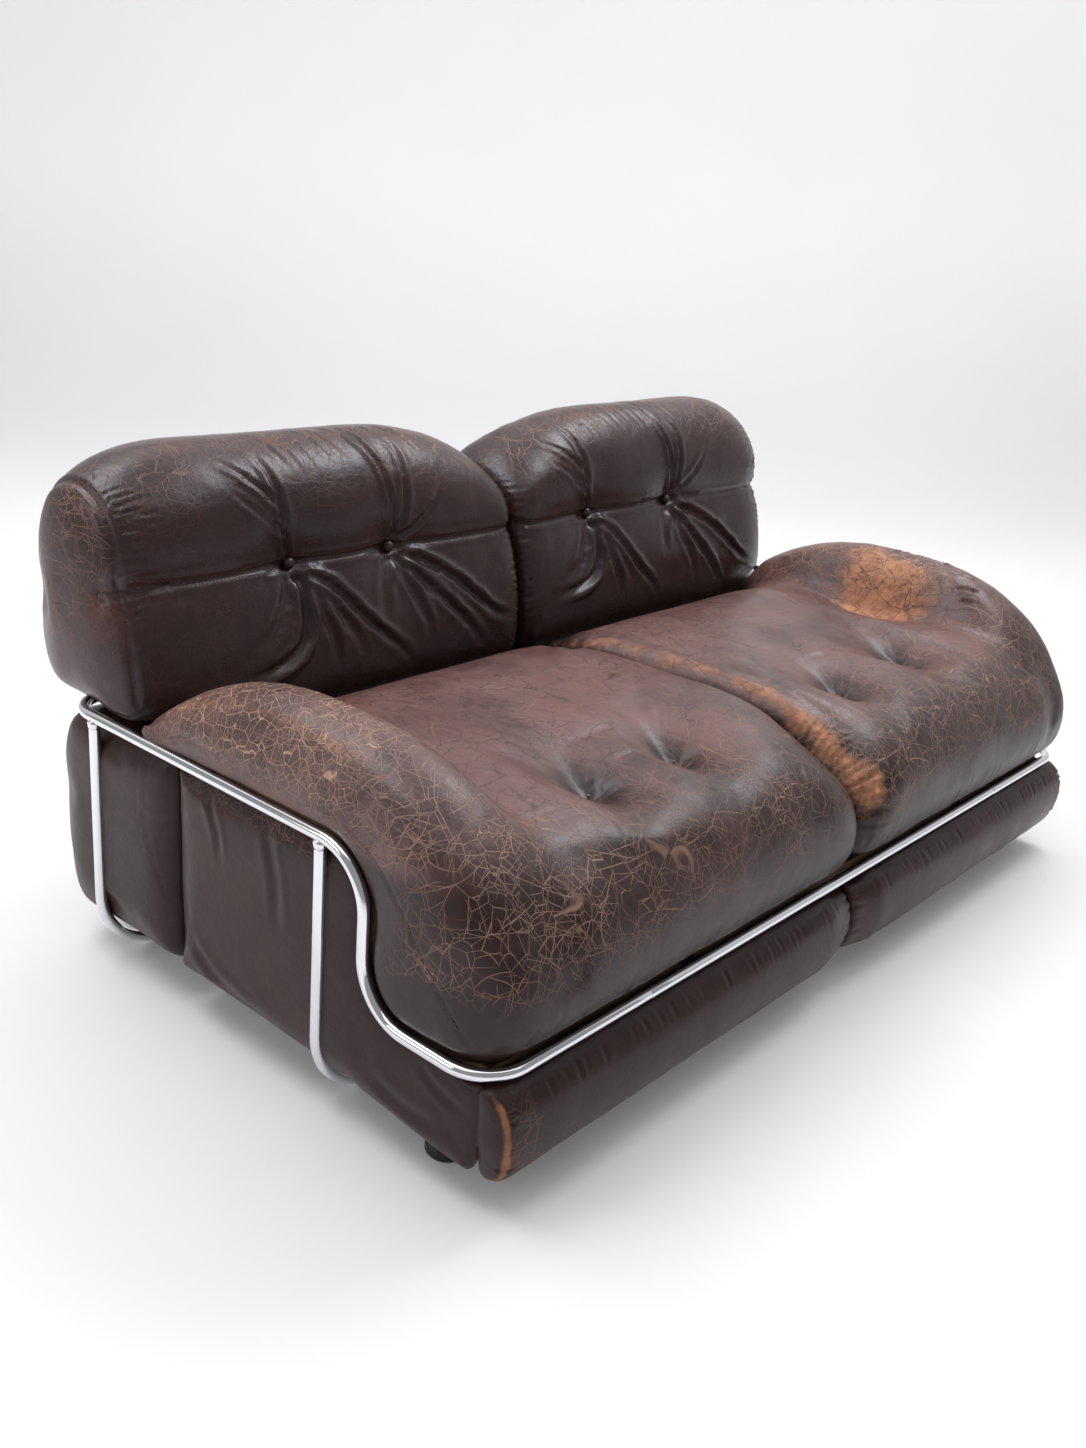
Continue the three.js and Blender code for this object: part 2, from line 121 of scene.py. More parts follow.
def round_off(distance, width, drop):
    """How far an edge has dropped at a distance from the end of a form that is rounded over a width."""
    t = unit((width - distance) / width)
    return drop * (1 - np.sqrt(1 - t * t))


# ---- meshes ----
def mesh_piece(name, verts, faces):
    mesh = bpy.data.meshes.new(name)
    mesh.from_pydata([tuple(v) for v in np.asarray(verts) * MM], [], faces)
    bm = bmesh.new()
    bm.from_mesh(mesh)
    bmesh.ops.recalc_face_normals(bm, faces=bm.faces)
    bm.to_mesh(mesh)
    bm.free()
    mesh.polygons.foreach_set("use_smooth", [True] * len(mesh.polygons))
    piece = bpy.data.objects.new(name, mesh)
    bpy.context.scene.collection.objects.link(piece)
    return piece


def loft(name, rings, ends=True):
    """A form through closed rings of the same count, its two ends filled unless they are points."""
    rings = np.asarray(rings, float)
    n, m = rings.shape[:2]
    faces = []
    for i in range(n - 1):
        for j in range(m):
            k = (j + 1) % m
            faces.append((i * m + j, i * m + k, (i + 1) * m + k, (i + 1) * m + j))
    if ends:
        faces.append(tuple(range(m)))
        faces.append(tuple((n - 1) * m + j for j in range(m)))
    return mesh_piece(name, rings.reshape(-1, 3), faces)


def turns(count):
    return np.linspace(0, 2 * math.pi, count, endpoint=False)


def coords(piece):
    co = np.empty(len(piece.data.vertices) * 3, np.float32)
    piece.data.vertices.foreach_get("co", co)
    return co.reshape(-1, 3).astype(float) / MM


def set_coords(piece, co):
    piece.data.vertices.foreach_set("co", (co * MM).astype(np.float32).ravel())
    piece.data.update()


def normals(piece):
    n = np.empty(len(piece.data.vertices) * 3, np.float32)
    piece.data.vertices.foreach_get("normal", n)
    return n.reshape(-1, 3).astype(float)


def set_attribute(piece, name, values):
    attribute = piece.data.attributes.get(name) or piece.data.attributes.new(name, "FLOAT", "POINT")
    attribute.data.foreach_set("value", unit(values).astype(np.float32))


def apply_modifiers(piece):
    graph = bpy.context.evaluated_depsgraph_get()
    mesh = bpy.data.meshes.new_from_object(piece.evaluated_get(graph))
    piece.modifiers.clear()
    old = piece.data
    piece.data = mesh
    bpy.data.meshes.remove(old)
    mesh.polygons.foreach_set("use_smooth", [True] * len(mesh.polygons))
    return piece


def remesh(piece, size, rounds=4):
    remesher = piece.modifiers.new("remesh", "REMESH")
    remesher.mode = "VOXEL"
    remesher.voxel_size = size * MM
    if rounds:
        smoother = piece.modifiers.new("smooth", "SMOOTH")
        smoother.factor = 0.5
        smoother.iterations = rounds
    return apply_modifiers(piece)


def subdivide(piece):
    piece.modifiers.new("subdivision", "SUBSURF").levels = 1
    return apply_modifiers(piece)


waiting = []


def inflate_later(piece, held=None, pressure=4.0, cap=10.0):
    """Queues a piece for the one cloth simulation that swells every soft piece at once."""
    waiting.append((piece, held, pressure, cap))


def inflate_all(frames=20):
    """Leather over foam: cloth with pressure from inside, no gravity and a cap on each point's move."""
    before = {}
    for piece, held, pressure, cap in waiting:
        before[piece.name] = coords(piece)
        cloth = piece.modifiers.new("cloth", "CLOTH")
        settings = cloth.settings
        settings.quality = 5
        settings.mass = 0.6
        settings.tension_stiffness = settings.compression_stiffness = 20
        settings.shear_stiffness = 12
        settings.bending_stiffness = 1.5
        settings.air_damping = 5
        settings.use_pressure = True
        settings.uniform_pressure_force = pressure
        settings.effector_weights.gravity = 0
        if held is not None:
            group = piece.vertex_groups.new(name="held")
            weights = np.round(held(before[piece.name]), 1)
            for value in np.unique(weights[weights > 0]):
                group.add(np.nonzero(weights == value)[0].tolist(), float(value), "REPLACE")
            settings.vertex_group_mass = "held"
        cloth.collision_settings.use_collision = False
        cloth.point_cache.frame_end = frames
    for step in range(1, frames + 1):
        bpy.context.scene.frame_set(step)
    for piece, _, _, cap in waiting:
        apply_modifiers(piece)
        start, moved = before[piece.name], coords(piece)
        shift = moved - start
        far = np.linalg.norm(shift, axis=1, keepdims=True)
        set_coords(piece, start + shift * np.tanh(far / cap) * cap / np.maximum(far, 1e-9))
    bpy.context.scene.frame_set(1)
    waiting.clear()


# ---- fields on a surface ----
def lumps(points, size, seed, depth=1):
    """Smooth noise from about -1 to 1 with lumps of a given size."""
    shift = Vector((seed * 17.3, seed * 5.1, seed * 9.7))
    out = np.empty(len(points))
    for i, p in enumerate(points / size):
        out[i] = noise.noise(Vector(p) + shift)
    if depth > 1:
        out += 0.5 * lumps(points, size / 2.1, seed + 1, depth - 1)
    return out


# ---- material helpers ----
def srgb(r, g, b):
    def linear(c):
        c /= 255
        return c / 12.92 if c <= 0.04045 else ((c + 0.055) / 1.055) ** 2.4
    return (linear(r), linear(g), linear(b), 1.0)


class Shader:
    """A material made of nodes, with one Principled shader."""

    def __init__(self, name, **fixed):
        self.material = bpy.data.materials.new(name)
        self.material.use_nodes = True
        self.tree = self.material.node_tree
        self.tree.nodes.clear()
        out = self.tree.nodes.new("ShaderNodeOutputMaterial")
        self.surface = self.tree.nodes.new("ShaderNodeBsdfPrincipled")
        self.tree.links.new(self.surface.outputs[0], out.inputs[0])
        for socket, value in fixed.items():
            self.surface.inputs[socket.replace("_", " ")].default_value = value
        self.place = self.add("ShaderNodeTexCoord").outputs["Object"]

    def add(self, kind, inputs=None, **properties):
        node = self.tree.nodes.new(kind)
        for key, value in properties.items():
            setattr(node, key, value)
        for key, value in (inputs or {}).items():
            if value is None:
                continue
            if isinstance(value, bpy.types.NodeSocket):
                self.tree.links.new(value, node.inputs[key])
            else:
                node.inputs[key].default_value = value
        return node

    def set(self, socket, value):
        self.tree.links.new(value, self.surface.inputs[socket])

    def math(self, operation, a, b):
        return self.add("ShaderNodeMath", {0: a, 1: b}, operation=operation).outputs[0]

    def vector(self, operation, inputs):
        return self.add("ShaderNodeVectorMath", inputs, operation=operation).outputs[0]

    def times(self, a, b):
        return self.math("MULTIPLY", a, b)

    def plus(self, a, b):
        return self.math("ADD", a, b)

    def most(self, a, b):
        return self.math("MAXIMUM", a, b)

    def mix(self, factor, a, b):
        return self.add("ShaderNodeMix", {0: factor, 6: a, 7: b}, data_type="RGBA").outputs[2]

    def attribute(self, name):
        return self.add("ShaderNodeAttribute", attribute_name=name).outputs["Fac"]

    def stretch(self, scale, turn=(0, 0, 0), place=None):
        inputs = {"Vector": place or self.place, "Scale": scale, "Rotation": turn}
        return self.add("ShaderNodeMapping", inputs).outputs[0]

    def turned(self, turn, longer, place):
        """Turned first and stretched after, so that a pattern runs long in a direction of its own."""
        node = self.add("ShaderNodeMapping", {"Vector": place, "Scale": (1.0, longer, 1.0), "Rotation": turn},
                        vector_type="TEXTURE")
        return node.outputs[0]

    def noise(self, scale, detail=2.0, rough=0.5, place=None):
        inputs = {"Vector": place or self.place, "Scale": scale, "Detail": detail, "Roughness": rough}
        return self.add("ShaderNodeTexNoise", inputs).outputs[0]

    def voronoi(self, scale, feature="DISTANCE_TO_EDGE", place=None):
        inputs = {"Vector": place or self.place, "Scale": scale}
        return self.add("ShaderNodeTexVoronoi", inputs, feature=feature).outputs["Distance"]

    def range(self, value, low, high, to_low=0.0, to_high=1.0):
        node = self.add("ShaderNodeMapRange", {0: value, 1: low, 2: high, 3: to_low, 4: to_high},
                        interpolation_type="SMOOTHSTEP")
        return node.outputs[0]

    def warp(self, amount, scale):
        source = self.add("ShaderNodeTexNoise", {"Vector": self.place, "Scale": scale, "Detail": 2.0})
        shift = self.vector("SUBTRACT", {0: source.outputs["Color"], 1: (0.5, 0.5, 0.5)})
        return self.vector("ADD", {0: self.place, 1: self.vector("SCALE", {0: shift, "Scale": amount})})

    def bump(self, height, strength=0.3, distance=0.001, under=None):
        inputs = {"Height": height, "Strength": strength, "Distance": distance, "Normal": under}
        return self.add("ShaderNodeBump", inputs).outputs[0]


def leather(name, dark, light, tan, roughness=0.36, shine=0.46):
    """Old pigmented leather. Vertex masks say where it is crazed (crack), rubbed through (wear) and
    dulled and lightened (scuff mask); on the seat tops the lightening is partly scuffing and partly painted
    sheen."""
    s = Shader(name, Specular_IOR_Level=shine, Specular_Tint=(0.84, 0.89, 1.0, 1.0))
    wear, crack, scuff = s.attribute("wear"), s.attribute("crack"), s.attribute("scuff")
    warped = s.warp(0.008, 13.0)
    fine_warp = s.warp(0.005, 48.0)
    # Colour: broad drift between the dark finish and the rubbed one, then finer mottling. The scuff mask
    # lifts the tone towards the light colour, on the seat tops partly for scuffing and partly as painted
    # sheen.
    drift = s.noise(3.4, 4.0, 0.6)
    mottle = s.noise(26.0, 6.0, 0.7)
    tone = s.plus(s.times(drift, 0.6), s.times(mottle, 0.4))
    tone = s.plus(tone, s.times(scuff, 0.8))
    base = s.mix(s.range(tone, 0.55, 1.25), dark, light)
    red = s.times(s.range(s.noise(7.0, 4.0, 0.65, place=warped), 0.5, 0.74), s.range(scuff, 0.1, 0.7))
    base = s.mix(s.times(red, 0.45), base, srgb(116, 70, 55))
    # Craze lines in two sizes of cell, broken up by noise, where the leather is badly crazed.
    broken = s.range(s.noise(20.0, 3.0, 0.6), 0.36, 0.56)
    cells = s.range(s.voronoi(52.0, place=fine_warp), 0.003, 0.030, 1.0, 0.0)
    small = s.range(s.voronoi(112.0, place=fine_warp), 0.006, 0.046, 1.0, 0.0)
    small = s.times(s.times(small, broken), s.range(crack, 0.7, 1.0, 0.0, 0.45))
    craze = s.most(s.times(cells, s.range(crack, 0.70, 0.88)), small)
    # Long thin creases: the edges of large cells in several layers that cross each other, each broken up.
    marks = None
    half = 0.00036
    for i, scale in enumerate((11.0, 15.0, 20.0, 25.0, 32.0, 40.0, 50.0)):
        place = s.turned((0.4 + 0.9 * i, 1.3 * i, 0.7 * i * i), 1.9, warped)
        edge = s.range(s.voronoi(scale, place=place), 0.1 * half * scale, 1.2 * half * scale, 1.0, 0.0)
        gap = s.range(s.noise(7.0 + 2.0 * i, 2.0, 0.5, place=place), 0.42, 0.50)
        mark = s.times(edge, gap)
        marks = mark if marks is None else s.most(marks, mark)
    fewer = s.range(s.noise(6.0, 2.0, 0.5), 0.35, 0.6, 0.5, 1.0)
    marks = s.times(s.times(marks, fewer), s.range(crack, 0.04, 0.42))
    marks = s.times(marks, s.range(crack, 0.55, 0.78, 1.0, 0.5))
    lines = s.most(craze, marks)
    # Short dark scratches where the top has been sat on.
    dark_marks = None
    for i, scale in enumerate((24.0, 41.0)):
        place = s.stretch((1.0, 0.7, 1.0), (1.1 * i + 0.3, 0.8, 2.1 * i), fine_warp)
        edge = s.range(s.voronoi(scale, place=place), 0.3 * half * scale, 2.4 * half * scale, 1.0, 0.0)
        mark = s.times(edge, s.range(s.noise(9.0 + 4.0 * i, 3.0, 0.6, place=place), 0.44, 0.54))
        dark_marks = mark if dark_marks is None else s.most(dark_marks, mark)
    dark_marks = s.times(dark_marks, s.range(scuff, 0.2, 0.6))
    # Worn areas: the finish is rubbed off to tan suede, with ragged edges.
    ragged = s.plus(wear, s.times(s.math("SUBTRACT", s.noise(44.0, 9.0, 0.75), 0.5), 1.1))
    worn = s.times(s.range(ragged, 0.42, 0.95), s.range(wear, 0.02, 0.3))
    tan_tone = s.mix(s.range(s.noise(36.0, 6.0, 0.75), 0.35, 0.68), tan, srgb(132, 84, 60))
    colour = s.mix(s.times(worn, 0.85), base, tan_tone)
    colour = s.mix(s.times(dark_marks, 0.75), colour, srgb(44, 30, 28))
    line_tone = s.mix(s.range(crack, 0.35, 0.9), srgb(148, 104, 84), srgb(196, 156, 130))
    colour = s.mix(s.times(lines, 0.78), colour, line_tone)
    s.set("Base Color", colour)
    gloss = s.plus(s.times(s.noise(12.0, 4.0, 0.6), 0.2), roughness - 0.10)
    gloss = s.plus(gloss, s.times(s.most(worn, s.times(lines, 0.6)), 0.34))
    s.set("Roughness", gloss)
    # Relief: pebbled grain, soft wrinkles, and the craze lines cut in.
    grain = s.voronoi(640.0, feature="F1", place=fine_warp)
    wrinkle = s.noise(64.0, 4.0, 0.62, place=s.stretch((1.0, 1.0, 1.5), place=warped))
    relief = s.bump(grain, 0.16, 0.0004)
    relief = s.bump(wrinkle, 0.34, 0.0016, relief)
    relief = s.bump(s.math("SUBTRACT", 1.0, lines), 0.55, 0.0006, relief)
    s.set("Normal", relief)
    return s.material


def chrome_finish():
    s = Shader("chrome_worn", Metallic=1.0)
    pits = s.range(s.voronoi(380.0, feature="F1", place=s.warp(0.01, 40.0)), 0.10, 0.24, 1.0, 0.0)
    patch = s.range(s.noise(16.0, 5.0, 0.7), 0.56, 0.70)
    low = s.add("ShaderNodeSeparateXYZ", {0: s.place}).outputs[2]
    leg = s.range(low, 0.02, 0.26, 1.0, 0.25)
    dirt = s.times(s.times(pits, patch), leg)
    haze = s.times(s.range(s.noise(26.0, 6.0, 0.7), 0.60, 0.78), leg)
    colour = s.mix(dirt, srgb(232, 233, 236), srgb(58, 54, 50))
    s.set("Base Color", s.mix(s.times(haze, 0.4), colour, srgb(120, 116, 110)))
    s.set("Roughness", s.plus(s.times(haze, 0.35), 0.07))
    s.set("Normal", s.bump(s.math("SUBTRACT", 1.0, dirt), 0.3, 0.0003))
    return s.material


def plain_finish(name, light, dark, stretch, scale, roughness, metallic=0.0, relief=0.0004):
    """A coloured surface with grain along one direction."""
    s = Shader(name, Metallic=metallic)
    grain = s.noise(scale, 6.0, 0.65, place=s.stretch(stretch))
    s.set("Base Color", s.mix(s.range(grain, 0.3, 0.7), dark, light))
    s.set("Roughness", s.range(grain, 0.2, 0.8, roughness - 0.08, roughness + 0.08))
    s.set("Normal", s.bump(grain, 0.4, relief))
    return s.material


# The seat's pale mauve light colour stands partly for painted sheen on the seat tops.
SEAT = leather("leather_seat", srgb(44, 26, 22), srgb(112, 82, 79), srgb(200, 140, 102), 0.36, 0.42)
BACK = leather("leather_back", srgb(48, 31, 29), srgb(78, 52, 48), srgb(150, 104, 82), 0.29)
BASE = leather("leather_base", srgb(48, 30, 27), srgb(66, 44, 40), srgb(166, 114, 86), 0.36, 0.27)
CHROME = chrome_finish()
THREAD = plain_finish("thread", srgb(112, 88, 76), srgb(58, 44, 38), (1, 1, 1), 900.0, 0.7)
ZINC = plain_finish("zinc_steel", srgb(178, 180, 184), srgb(128, 130, 134), (1, 1, 1), 90.0, 0.4, 1.0)
# The pine is dark partly from age and stain and partly as painted shade, so the frame seen in the gaps under
# the cushions reads dark.
TIMBER_STAINED_AND_SHADED = plain_finish("pine_timber_stained_and_shaded", srgb(104, 78, 50), srgb(66, 47, 31), (3, 60, 60), 1.0, 0.7)
PLYWOOD = plain_finish("birch_plywood", srgb(206, 172, 122), srgb(160, 120, 76), (4, 40, 90), 1.0, 0.65)
WEBBING = plain_finish("rubber_webbing", srgb(58, 52, 46), srgb(30, 27, 24), (1, 60, 60), 8.0, 0.85)
LINING = plain_finish("black_lining", srgb(40, 38, 38), srgb(16, 15, 15), (1, 1, 1), 1400.0, 0.95)
TWINE = plain_finish("twine", srgb(150, 128, 96), srgb(92, 76, 54), (1, 1, 1), 700.0, 0.9)
BLACK = plain_finish("black_plastic", srgb(34, 34, 34), srgb(14, 14, 14), (1, 1, 1), 240.0, 0.5)


def dress(piece, material, slot, *nodes):
    piece.data.materials.clear()
    piece.data.materials.append(material)
    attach(piece, "root")
    if nodes:
        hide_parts(*nodes)
    return piece


# ---- camera, floor and light ----
YAW, PITCH, ROLL = 0.877, 0.364, 0.085
FOCAL, IMAGE_HEIGHT = 1381.507, 1448.0
SENSOR_HEIGHT = 36.0
eye = Vector((-1.69446, -1.25246, 1.06340))
forward = Vector((math.sin(YAW) * math.cos(PITCH), math.cos(YAW) * math.cos(PITCH), -math.sin(PITCH)))
level = Vector((math.cos(YAW), -math.sin(YAW), 0))
upward = level.cross(forward)
across = math.cos(ROLL) * level + math.sin(ROLL) * upward
over = math.cos(ROLL) * upward - math.sin(ROLL) * level
lens = bpy.data.cameras.new("camera")
lens.sensor_fit = "VERTICAL"
lens.sensor_height = SENSOR_HEIGHT
lens.lens = FOCAL * SENSOR_HEIGHT / IMAGE_HEIGHT
camera = bpy.data.objects.new("camera", lens)
camera.matrix_world = Matrix((
    (across.x, over.x, -forward.x, eye.x),
    (across.y, over.y, -forward.y, eye.y),
    (across.z, over.z, -forward.z, eye.z),
    (0, 0, 0, 1),
))
bpy.context.scene.collection.objects.link(camera)
bpy.context.scene.camera = camera
bpy.context.scene.view_settings.view_transform = "Standard"


FLOOR_REACH, WALL_AT, WALL_R, WALL_TOP = 40.0, 3.2, 2.2, 14.0
# Each light's name, place, aim, size in metres and power.
LIGHTS = (
    ("overhead", (0.3, 0.5, 4.4), (0, 0, 0.3), (7.5, 6.5), 152),
    ("softbox", (-1.1, 1.0, 2.7), (-0.1, 0, 0.4), (1.9, 1.0), 30),
    ("right_softbox", (1.8, -0.3, 3.0), (-0.2, 0, 0.4), (1.5, 1.0), 40),
    ("left_window", (-3.6, 1.6, 1.9), (0, 0, 0.4), (2.0, 1.6), 20),
)


def studio():
    """A pale floor that curves up into a wall behind the sofa, a pale surround and large soft lights."""
    back = [(-FLOOR_REACH, 0.0), (WALL_AT, 0.0)]
    for a in np.linspace(0.12, math.pi / 2, 14):
        back.append((WALL_AT + WALL_R * math.sin(a), WALL_R - WALL_R * math.cos(a)))
    back.append((WALL_AT + WALL_R, WALL_TOP))
    flat = Vector((math.sin(YAW), math.cos(YAW), 0))
    verts, faces = [], []
    for depth, height in back:
        for wide in (-FLOOR_REACH, FLOOR_REACH):
            p = flat * depth + level * wide
            verts.append((p.x / MM, p.y / MM, height / MM))
    for i in range(len(back) - 1):
        faces.append((2 * i, 2 * i + 1, 2 * i + 3, 2 * i + 2))
    floor = mesh_piece("studio_floor", verts, faces)
    paint = Shader("studio_paint")
    spread = paint.noise(1.5, 2.0)
    paint.set("Base Color", paint.mix(spread, srgb(232, 232, 234), srgb(238, 238, 240)))
    paint.surface.inputs["Roughness"].default_value = 0.9
    # The floor and wall glow, more with height, as painted light that keeps the wall pale above the sofa.
    height = paint.add("ShaderNodeSeparateXYZ", {0: paint.place}).outputs[2]
    paint.surface.inputs["Emission Color"].default_value = (1.0, 1.0, 1.0, 1.0)
    paint.set("Emission Strength", paint.range(height, -0.3, 1.2, 0.06, 0.29))
    floor.data.materials.append(paint.material)

    world = bpy.data.worlds.new("surround")
    world.use_nodes = True
    world.node_tree.nodes["Background"].inputs[0].default_value = (1.0, 1.0, 1.0, 1)
    world.node_tree.nodes["Background"].inputs[1].default_value = 0.30
    bpy.context.scene.world = world

    for name, at, towards, size, power in LIGHTS:
        light = bpy.data.lights.new(name, "AREA")
        light.shape = "RECTANGLE"
        light.size, light.size_y = size
        light.energy = power
        thing = bpy.data.objects.new(name, light)
        thing.location = at
        thing.rotation_euler = (Vector(towards) - Vector(at)).to_track_quat("-Z", "Y").to_euler()
        bpy.context.scene.collection.objects.link(thing)


studio()


# ---- chrome ----
def sweep(name, line, headings, radius, sides=28):
    """A round tube with rounded-over ends along a centre line."""
    rounding = ((0, -1.2), (0.1, -0.5), (0.4, -0.1), (1.2, 0))
    stations = [(line[0] + headings[0] * d, headings[0], radius + r) for d, r in rounding]
    stations += [(p, h, radius) for p, h in zip(line[1:-1], headings[1:-1])]
    stations += [(line[-1] - headings[-1] * d, headings[-1], radius + r) for d, r in rounding[::-1]]
    side = np.cross(headings[0], (0.31, 0.17, 0.93))
    rings = []
    for at, along, r in stations:
        side = side - along * (side @ along)
        side /= np.linalg.norm(side)
        other = np.cross(along, side)
        rings.append([at + r * (math.cos(a) * side + math.sin(a) * other) for a in turns(sides)])
    return loft(name, rings)


# The weld bead's rings: how far above the leg's top, and how much wider than the tube.
WELD = ((-7, 0.1), (-4, 0.8), (-1, 1.6), (2, 1.2), (4, -2.0))


def chrome_work():
    drop = RAIL_HIGH - RAIL_LOW - 2 * STEP_R
    straight = RAIL_X - CORNER_R - SPLICE_X
    for name, side in SIDES.items():
        line, headings = route(
            ((side * (SPLICE_X + SPLICE_GAP), RAIL_BACK, RAIL_HIGH), (side, 0, 0)),
            [straight, (CORNER_R, (0, -1, 0)), RAIL_BACK - CORNER_R - STEP_Y, (STEP_R, (0, 0, -1)), drop,
             (STEP_R, (0, -1, 0)), STEP_Y - 2 * STEP_R - (RAIL_FRONT + CORNER_R),
             (CORNER_R, (-side, 0, 0)), straight])
        dress(sweep(f"chrome_rail_{name}", line, headings, TUBE_R), CHROME, "chrome", f"rail_{name}")
    for name, y, z in (("front", RAIL_FRONT, RAIL_LOW), ("back", RAIL_BACK, RAIL_HIGH)):
        end = SPLICE_X - SPLICE_GAP
        line = np.array([(x, y, z) for x in np.linspace(-end, end, 24)])
        headings = np.array([(1.0, 0, 0)] * len(line))
        dress(sweep(f"chrome_rail_{name}", line, headings, TUBE_R), CHROME, "chrome", f"rail_{name}")
    top = RAIL_HIGH - TUBE_R - 1.5
    fall = top - TUBE_R - HOOP_R
    for node, y in HOOP_Y.items():
        steps = [fall, (HOOP_R, (1, 0, 0)), 2 * (RAIL_X - HOOP_R), (HOOP_R, (0, 0, 1)), fall]
        line, headings = route(((-RAIL_X, y, top), (0, 0, -1)), steps, 18)
        dress(sweep(f"chrome_{node}", line, headings, TUBE_R), CHROME, "chrome", node)
        for name, side in SIDES.items():
            # The weld: a small flared bead between the leg and the rail, cut to the rail's underside.
            rings = []
            for rise, wider in WELD:
                z, r = top + rise, TUBE_R + wider
                ring = []
                for a in turns(24):
                    out = r + 0.25 * math.sin(5 * a + z) + 0.15 * math.sin(9 * a)
                    lift = 2.2 * abs(math.cos(a)) if z > top - 3 else 0
                    ring.append((side * RAIL_X + out * math.cos(a), y + out * math.sin(a), z + lift))
                rings.append(ring)
            dress(loft(f"weld_{node}_{name}", rings), CHROME, "chrome")


chrome_work()

# ---- hidden structure: the CAD solids keep their shape and get their finish ----
FINISH_BY_START = (
    ("spigot", ZINC), ("lug", ZINC), ("screw", ZINC), ("frame_board", TIMBER_STAINED_AND_SHADED), ("back_board", PLYWOOD),
    ("strap", WEBBING), ("underside", LINING), ("seat_tie", TWINE), ("button_tie", TWINE), ("foot", BLACK),
)
for node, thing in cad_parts.items():
    for start, material in FINISH_BY_START:
        if node.startswith(start):
            thing.data.materials.clear()
            thing.data.materials.append(material)


# ---- seat cushions ----
TUFTS = {"left": ((-420, -277), (-237, -277)), "right": ((200, -280), (430, -265))}
HALF_GAP, SEAT_END, BACK_END = 3, 770, 765
VOXEL, PAD_VOXEL, LOWER_BACK_VOXEL = 9.0, 7.0, 13.0
# The seat's top from front to rear, as (y, z), on its flat part and on the raised outer roll.
SEAT_MAIN = [
    (-440, 190), (-455, 208), (-467, 236), (-470, 270), (-462, 312), (-432, 352), (-385, 380), (-322, 397),
    (-262, 404), (-190, 405), (-110, 403), (-36, 402), (40, 400), (92, 392), (140, 376), (190, 350),
    (206, 334),
]
SEAT_ROLL = [
    (-440, 190), (-454, 208), (-463, 238), (-462, 280), (-447, 320), (-415, 366), (-380, 402), (-330, 438),
    (-276, 465), (-204, 484), (-120, 491), (-36, 489), (36, 476), (92, 458), (140, 436), (182, 413),
    (203, 392),
]
# How much of the roll's outline a section takes, by its distance from the middle.
ROLL_SHARE = (
    [520, 570, 600, 618, 634, 652, 676, 712, 745, SEAT_END],
    [0, -0.06, -0.10, -0.02, 0.42, 0.80, 1.0, 1.0, 0.84, 0.64],
)


def seat_bottom_inner():
    return even([(206, 334), (196, 330), (134, 329), (125, 320), (122, 200), (110, 188), (-440, 190)], 60)


def seat_bottom_outer(x):
    above = np.interp(x, (740, 752, 758, 763), (-2, 1, 8, 12))
    upper = arc((STEP_Y, RAIL_HIGH - STEP_R), STEP_R + above, 90, 180)
    lower = arc((STEP_Y - 2 * STEP_R, RAIL_LOW + STEP_R), STEP_R - above, 0, -90)
    line = [(200, 386), (150, RAIL_HIGH + above)] + upper.tolist() + lower.tolist() + [(-440, 189)]
    return even(line, 60)


def seat_section(x):
    """A seat cushion's side outline at a distance x from the middle: its top and its bottom, as (y, z)."""
    share = np.interp(x, *ROLL_SHARE)
    top = smooth_line(SEAT_MAIN, 110) * (1 - share) + smooth_line(SEAT_ROLL, 110) * share
    bottom = seat_bottom_outer(x) if x > 714 else seat_bottom_inner()
    bottom = bottom + (top[-1] - bottom[0]) * np.linspace(1, 0, 60)[:, None] ** 3
    return top, bottom


def inward(ring):
    """The inward normals of a closed ring given anticlockwise or clockwise."""
    along = np.roll(ring, -2, axis=0) - np.roll(ring, 2, axis=0)
    n = np.stack([-along[:, 1], along[:, 0]], axis=1)
    n /= np.maximum(np.linalg.norm(n, axis=1, keepdims=True), 1e-9)
    area = np.sum(ring[:, 0] * np.roll(ring[:, 1], -1) - np.roll(ring[:, 0], -1) * ring[:, 1])
    return n if area > 0 else -n


